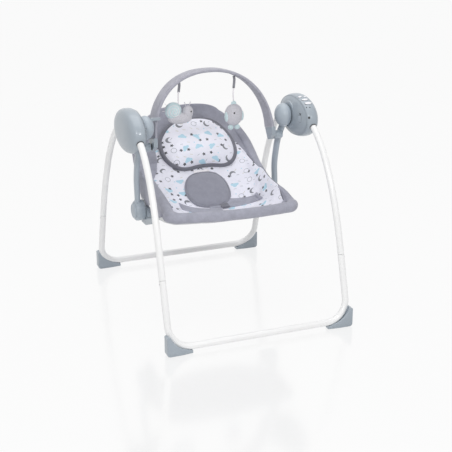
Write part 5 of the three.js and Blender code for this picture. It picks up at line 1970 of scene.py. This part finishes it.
def build_stage():
    """Floor, lamps, world and camera, with the swing as the only thing that isn't stage."""
    scene = bpy.context.scene
    build_stage_world()
    corners = ((-1, -1), (1, -1), (1, 1), (-1, 1))
    points = np.array([(x * FLOOR_REACH, y * FLOOR_REACH, -FLOOR_DROP) for x, y in corners])
    floor = make_mesh("studio_floor", points, [np.array([0, 1, 2, 3])])
    floor.data.materials.append(floor_material())
    for lamp in LAMPS:
        add_area_light(*lamp)
    camera = bpy.data.cameras.new("Camera")
    camera.sensor_width = CAMERA_SENSOR
    camera.lens = CAMERA_LENS
    eye = bpy.data.objects.new("Camera", camera)
    eye.location = CAMERA_PLACE
    eye.rotation_euler = (radians(90 - CAMERA_DOWN), 0.0, radians(CAMERA_TURN))
    scene.collection.objects.link(eye)
    scene.camera = eye
    scene.view_settings.view_transform = "Standard"


# ------------------------------------------------------------------ add-on


class SwingColours(bpy.types.PropertyGroup):
    """Colours that a user may change."""

    plastic: bpy.props.FloatVectorProperty(
        name="Plastic",
        description="Hubs, arms and feet",
        subtype="COLOR",
        size=3,
        default=(0.36, 0.41, 0.46),
    )
    enamel: bpy.props.FloatVectorProperty(
        name="Enamel",
        description="Frame tubes",
        subtype="COLOR",
        size=3,
        default=(0.93, 0.93, 0.93),
    )
    seat_cloth: bpy.props.FloatVectorProperty(
        name="Seat cloth",
        description="Outer seat fabric",
        subtype="COLOR",
        size=3,
        default=(0.375, 0.38, 0.45),
    )
    bar_cloth: bpy.props.FloatVectorProperty(
        name="Bar cloth",
        description="Toy bar sleeve",
        subtype="COLOR",
        size=3,
        default=(0.40, 0.40, 0.46),
    )
    print_ground: bpy.props.FloatVectorProperty(
        name="Print ground",
        description="Ground of the printed cotton",
        subtype="COLOR",
        size=3,
        default=(0.87, 0.87, 0.96),
    )


class SwingSizes(bpy.types.PropertyGroup):
    """Sizes that a user may change."""

    pillow_crown: bpy.props.FloatProperty(
        name="Pillow crown",
        description="Height of the head pillow over its edge",
        unit="LENGTH",
        default=0.032,
    )
    pillow_piping: bpy.props.FloatProperty(
        name="Pillow piping",
        description="Radius of the cord round the head pillow",
        unit="LENGTH",
        default=0.0068,
    )
    pad_crown: bpy.props.FloatProperty(
        name="Pad crown",
        description="Height of the crotch pad over its edge",
        unit="LENGTH",
        default=0.012,
    )
    pad_piping: bpy.props.FloatProperty(
        name="Pad piping",
        description="Radius of the cord round the crotch pad",
        unit="LENGTH",
        default=0.0034,
    )
    roll_radius: bpy.props.FloatProperty(
        name="Front roll radius",
        description="Half thickness of the padded front sleeve",
        unit="LENGTH",
        default=0.016,
    )
    band_width: bpy.props.FloatProperty(
        name="Toy bar width",
        description="Width of the toy bar's padded band",
        unit="LENGTH",
        default=0.06,
    )
    motif_spacing: bpy.props.FloatProperty(
        name="Motif spacing",
        description="Distance between the large motifs of the print",
        unit="LENGTH",
        default=0.043,
    )


class SWING_OT_materials(bpy.types.Operator):
    """Make every finish of the swing"""

    bl_idname = "swing.materials"
    bl_label = "Materials"

    def execute(self, context):
        make_materials(context.scene.swing_colours)
        return {"FINISHED"}


class SWING_OT_stage(bpy.types.Operator):
    """Add the floor, the lamps, the world and the camera"""

    bl_idname = "swing.stage"
    bl_label = "Stage"

    def execute(self, context):
        build_stage()
        return {"FINISHED"}


class SWING_OT_packed_nodes(bpy.types.Operator):
    """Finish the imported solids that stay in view"""

    bl_idname = "swing.packed_nodes"
    bl_label = "Packed nodes"

    def execute(self, context):
        dress_packed_nodes()
        return {"FINISHED"}


class SWING_OT_frame_tubes(bpy.types.Operator):
    """Build the floor tubes and the legs"""

    bl_idname = "swing.frame_tubes"
    bl_label = "Frame tubes"

    def execute(self, context):
        build_frame_tubes()
        return {"FINISHED"}


class SWING_OT_feet(bpy.types.Operator):
    """Build the four wedge feet"""

    bl_idname = "swing.feet"
    bl_label = "Feet"

    def execute(self, context):
        build_feet()
        return {"FINISHED"}


class SWING_OT_hubs(bpy.types.Operator):
    """Build the shells of both hubs"""

    bl_idname = "swing.hubs"
    bl_label = "Hubs"

    def execute(self, context):
        build_hubs()
        return {"FINISHED"}


class SWING_OT_hub_details(bpy.types.Operator):
    """Build the buttons, the door's joint, the releases and the collars"""

    bl_idname = "swing.hub_details"
    bl_label = "Hub details"

    def execute(self, context):
        build_hub_details()
        return {"FINISHED"}


class SWING_OT_arms(bpy.types.Operator):
    """Build the swing arms and their caps"""

    bl_idname = "swing.arms"
    bl_label = "Arms"

    def execute(self, context):
        build_arms()
        return {"FINISHED"}


class SWING_OT_seat_shell(bpy.types.Operator):
    """Build the outer seat fabric"""

    bl_idname = "swing.seat_shell"
    bl_label = "Seat shell"

    def execute(self, context):
        build_seat_shell()
        return {"FINISHED"}


class SWING_OT_liner(bpy.types.Operator):
    """Build the printed liner"""

    bl_idname = "swing.liner"
    bl_label = "Liner"

    def execute(self, context):
        build_liner()
        return {"FINISHED"}


class SWING_OT_head_pillow(bpy.types.Operator):
    """Build the head pillow and its piping"""

    bl_idname = "swing.head_pillow"
    bl_label = "Head pillow"

    def execute(self, context):
        build_pillow()
        return {"FINISHED"}


class SWING_OT_crotch_pad(bpy.types.Operator):
    """Build the crotch pad and its piping"""

    bl_idname = "swing.crotch_pad"
    bl_label = "Crotch pad"

    def execute(self, context):
        build_pad()
        return {"FINISHED"}


class SWING_OT_straps(bpy.types.Operator):
    """Build the waist straps"""

    bl_idname = "swing.straps"
    bl_label = "Straps"

    def execute(self, context):
        build_straps()
        return {"FINISHED"}


class SWING_OT_front_roll(bpy.types.Operator):
    """Build the padded front sleeve"""

    bl_idname = "swing.front_roll"
    bl_label = "Front roll"

    def execute(self, context):
        build_front_roll()
        return {"FINISHED"}


class SWING_OT_toy_bar(bpy.types.Operator):
    """Build the toy bar's sleeve"""

    bl_idname = "swing.toy_bar"
    bl_label = "Toy bar"

    def execute(self, context):
        build_toy_bar()
        return {"FINISHED"}


class SWING_OT_bird(bpy.types.Operator):
    """Build the hanging bird"""

    bl_idname = "swing.bird"
    bl_label = "Bird"

    def execute(self, context):
        build_bird()
        return {"FINISHED"}


class SWING_OT_snail(bpy.types.Operator):
    """Build the hanging snail"""

    bl_idname = "swing.snail"
    bl_label = "Snail"

    def execute(self, context):
        build_snail()
        return {"FINISHED"}


STEPS = (
    SWING_OT_materials,
    SWING_OT_stage,
    SWING_OT_packed_nodes,
    SWING_OT_frame_tubes,
    SWING_OT_feet,
    SWING_OT_hubs,
    SWING_OT_hub_details,
    SWING_OT_arms,
    SWING_OT_seat_shell,
    SWING_OT_liner,
    SWING_OT_head_pillow,
    SWING_OT_crotch_pad,
    SWING_OT_straps,
    SWING_OT_front_roll,
    SWING_OT_toy_bar,
    SWING_OT_bird,
    SWING_OT_snail,
)


class SWING_PT_panel(bpy.types.Panel):
    """Lists the sizes, the colours and the building steps."""

    bl_label = "Baby Swing"
    bl_idname = "SWING_PT_panel"
    bl_space_type = "VIEW_3D"
    bl_region_type = "UI"
    bl_category = "Baby Swing"

    def draw(self, context):
        for group in (context.scene.swing_sizes, context.scene.swing_colours):
            for name in type(group).__annotations__:
                self.layout.prop(group, name)
        for step in STEPS:
            self.layout.operator(step.bl_idname)


CLASSES = (SwingSizes, SwingColours, *STEPS, SWING_PT_panel)


def register():
    """Registers the classes and the scene's sizes and colours."""
    for cls in CLASSES:
        bpy.utils.register_class(cls)
    bpy.types.Scene.swing_sizes = bpy.props.PointerProperty(type=SwingSizes)
    bpy.types.Scene.swing_colours = bpy.props.PointerProperty(type=SwingColours)


def unregister():
    """Removes the scene's sizes and colours and the classes."""
    del bpy.types.Scene.swing_colours
    del bpy.types.Scene.swing_sizes
    for cls in reversed(CLASSES):
        bpy.utils.unregister_class(cls)


def main():
    """Registers the add-on and runs every building step in order."""
    register()
    for step in STEPS:
        getattr(bpy.ops.swing, step.bl_idname.split(".")[1])()


if __name__ == "__main__":
    main()
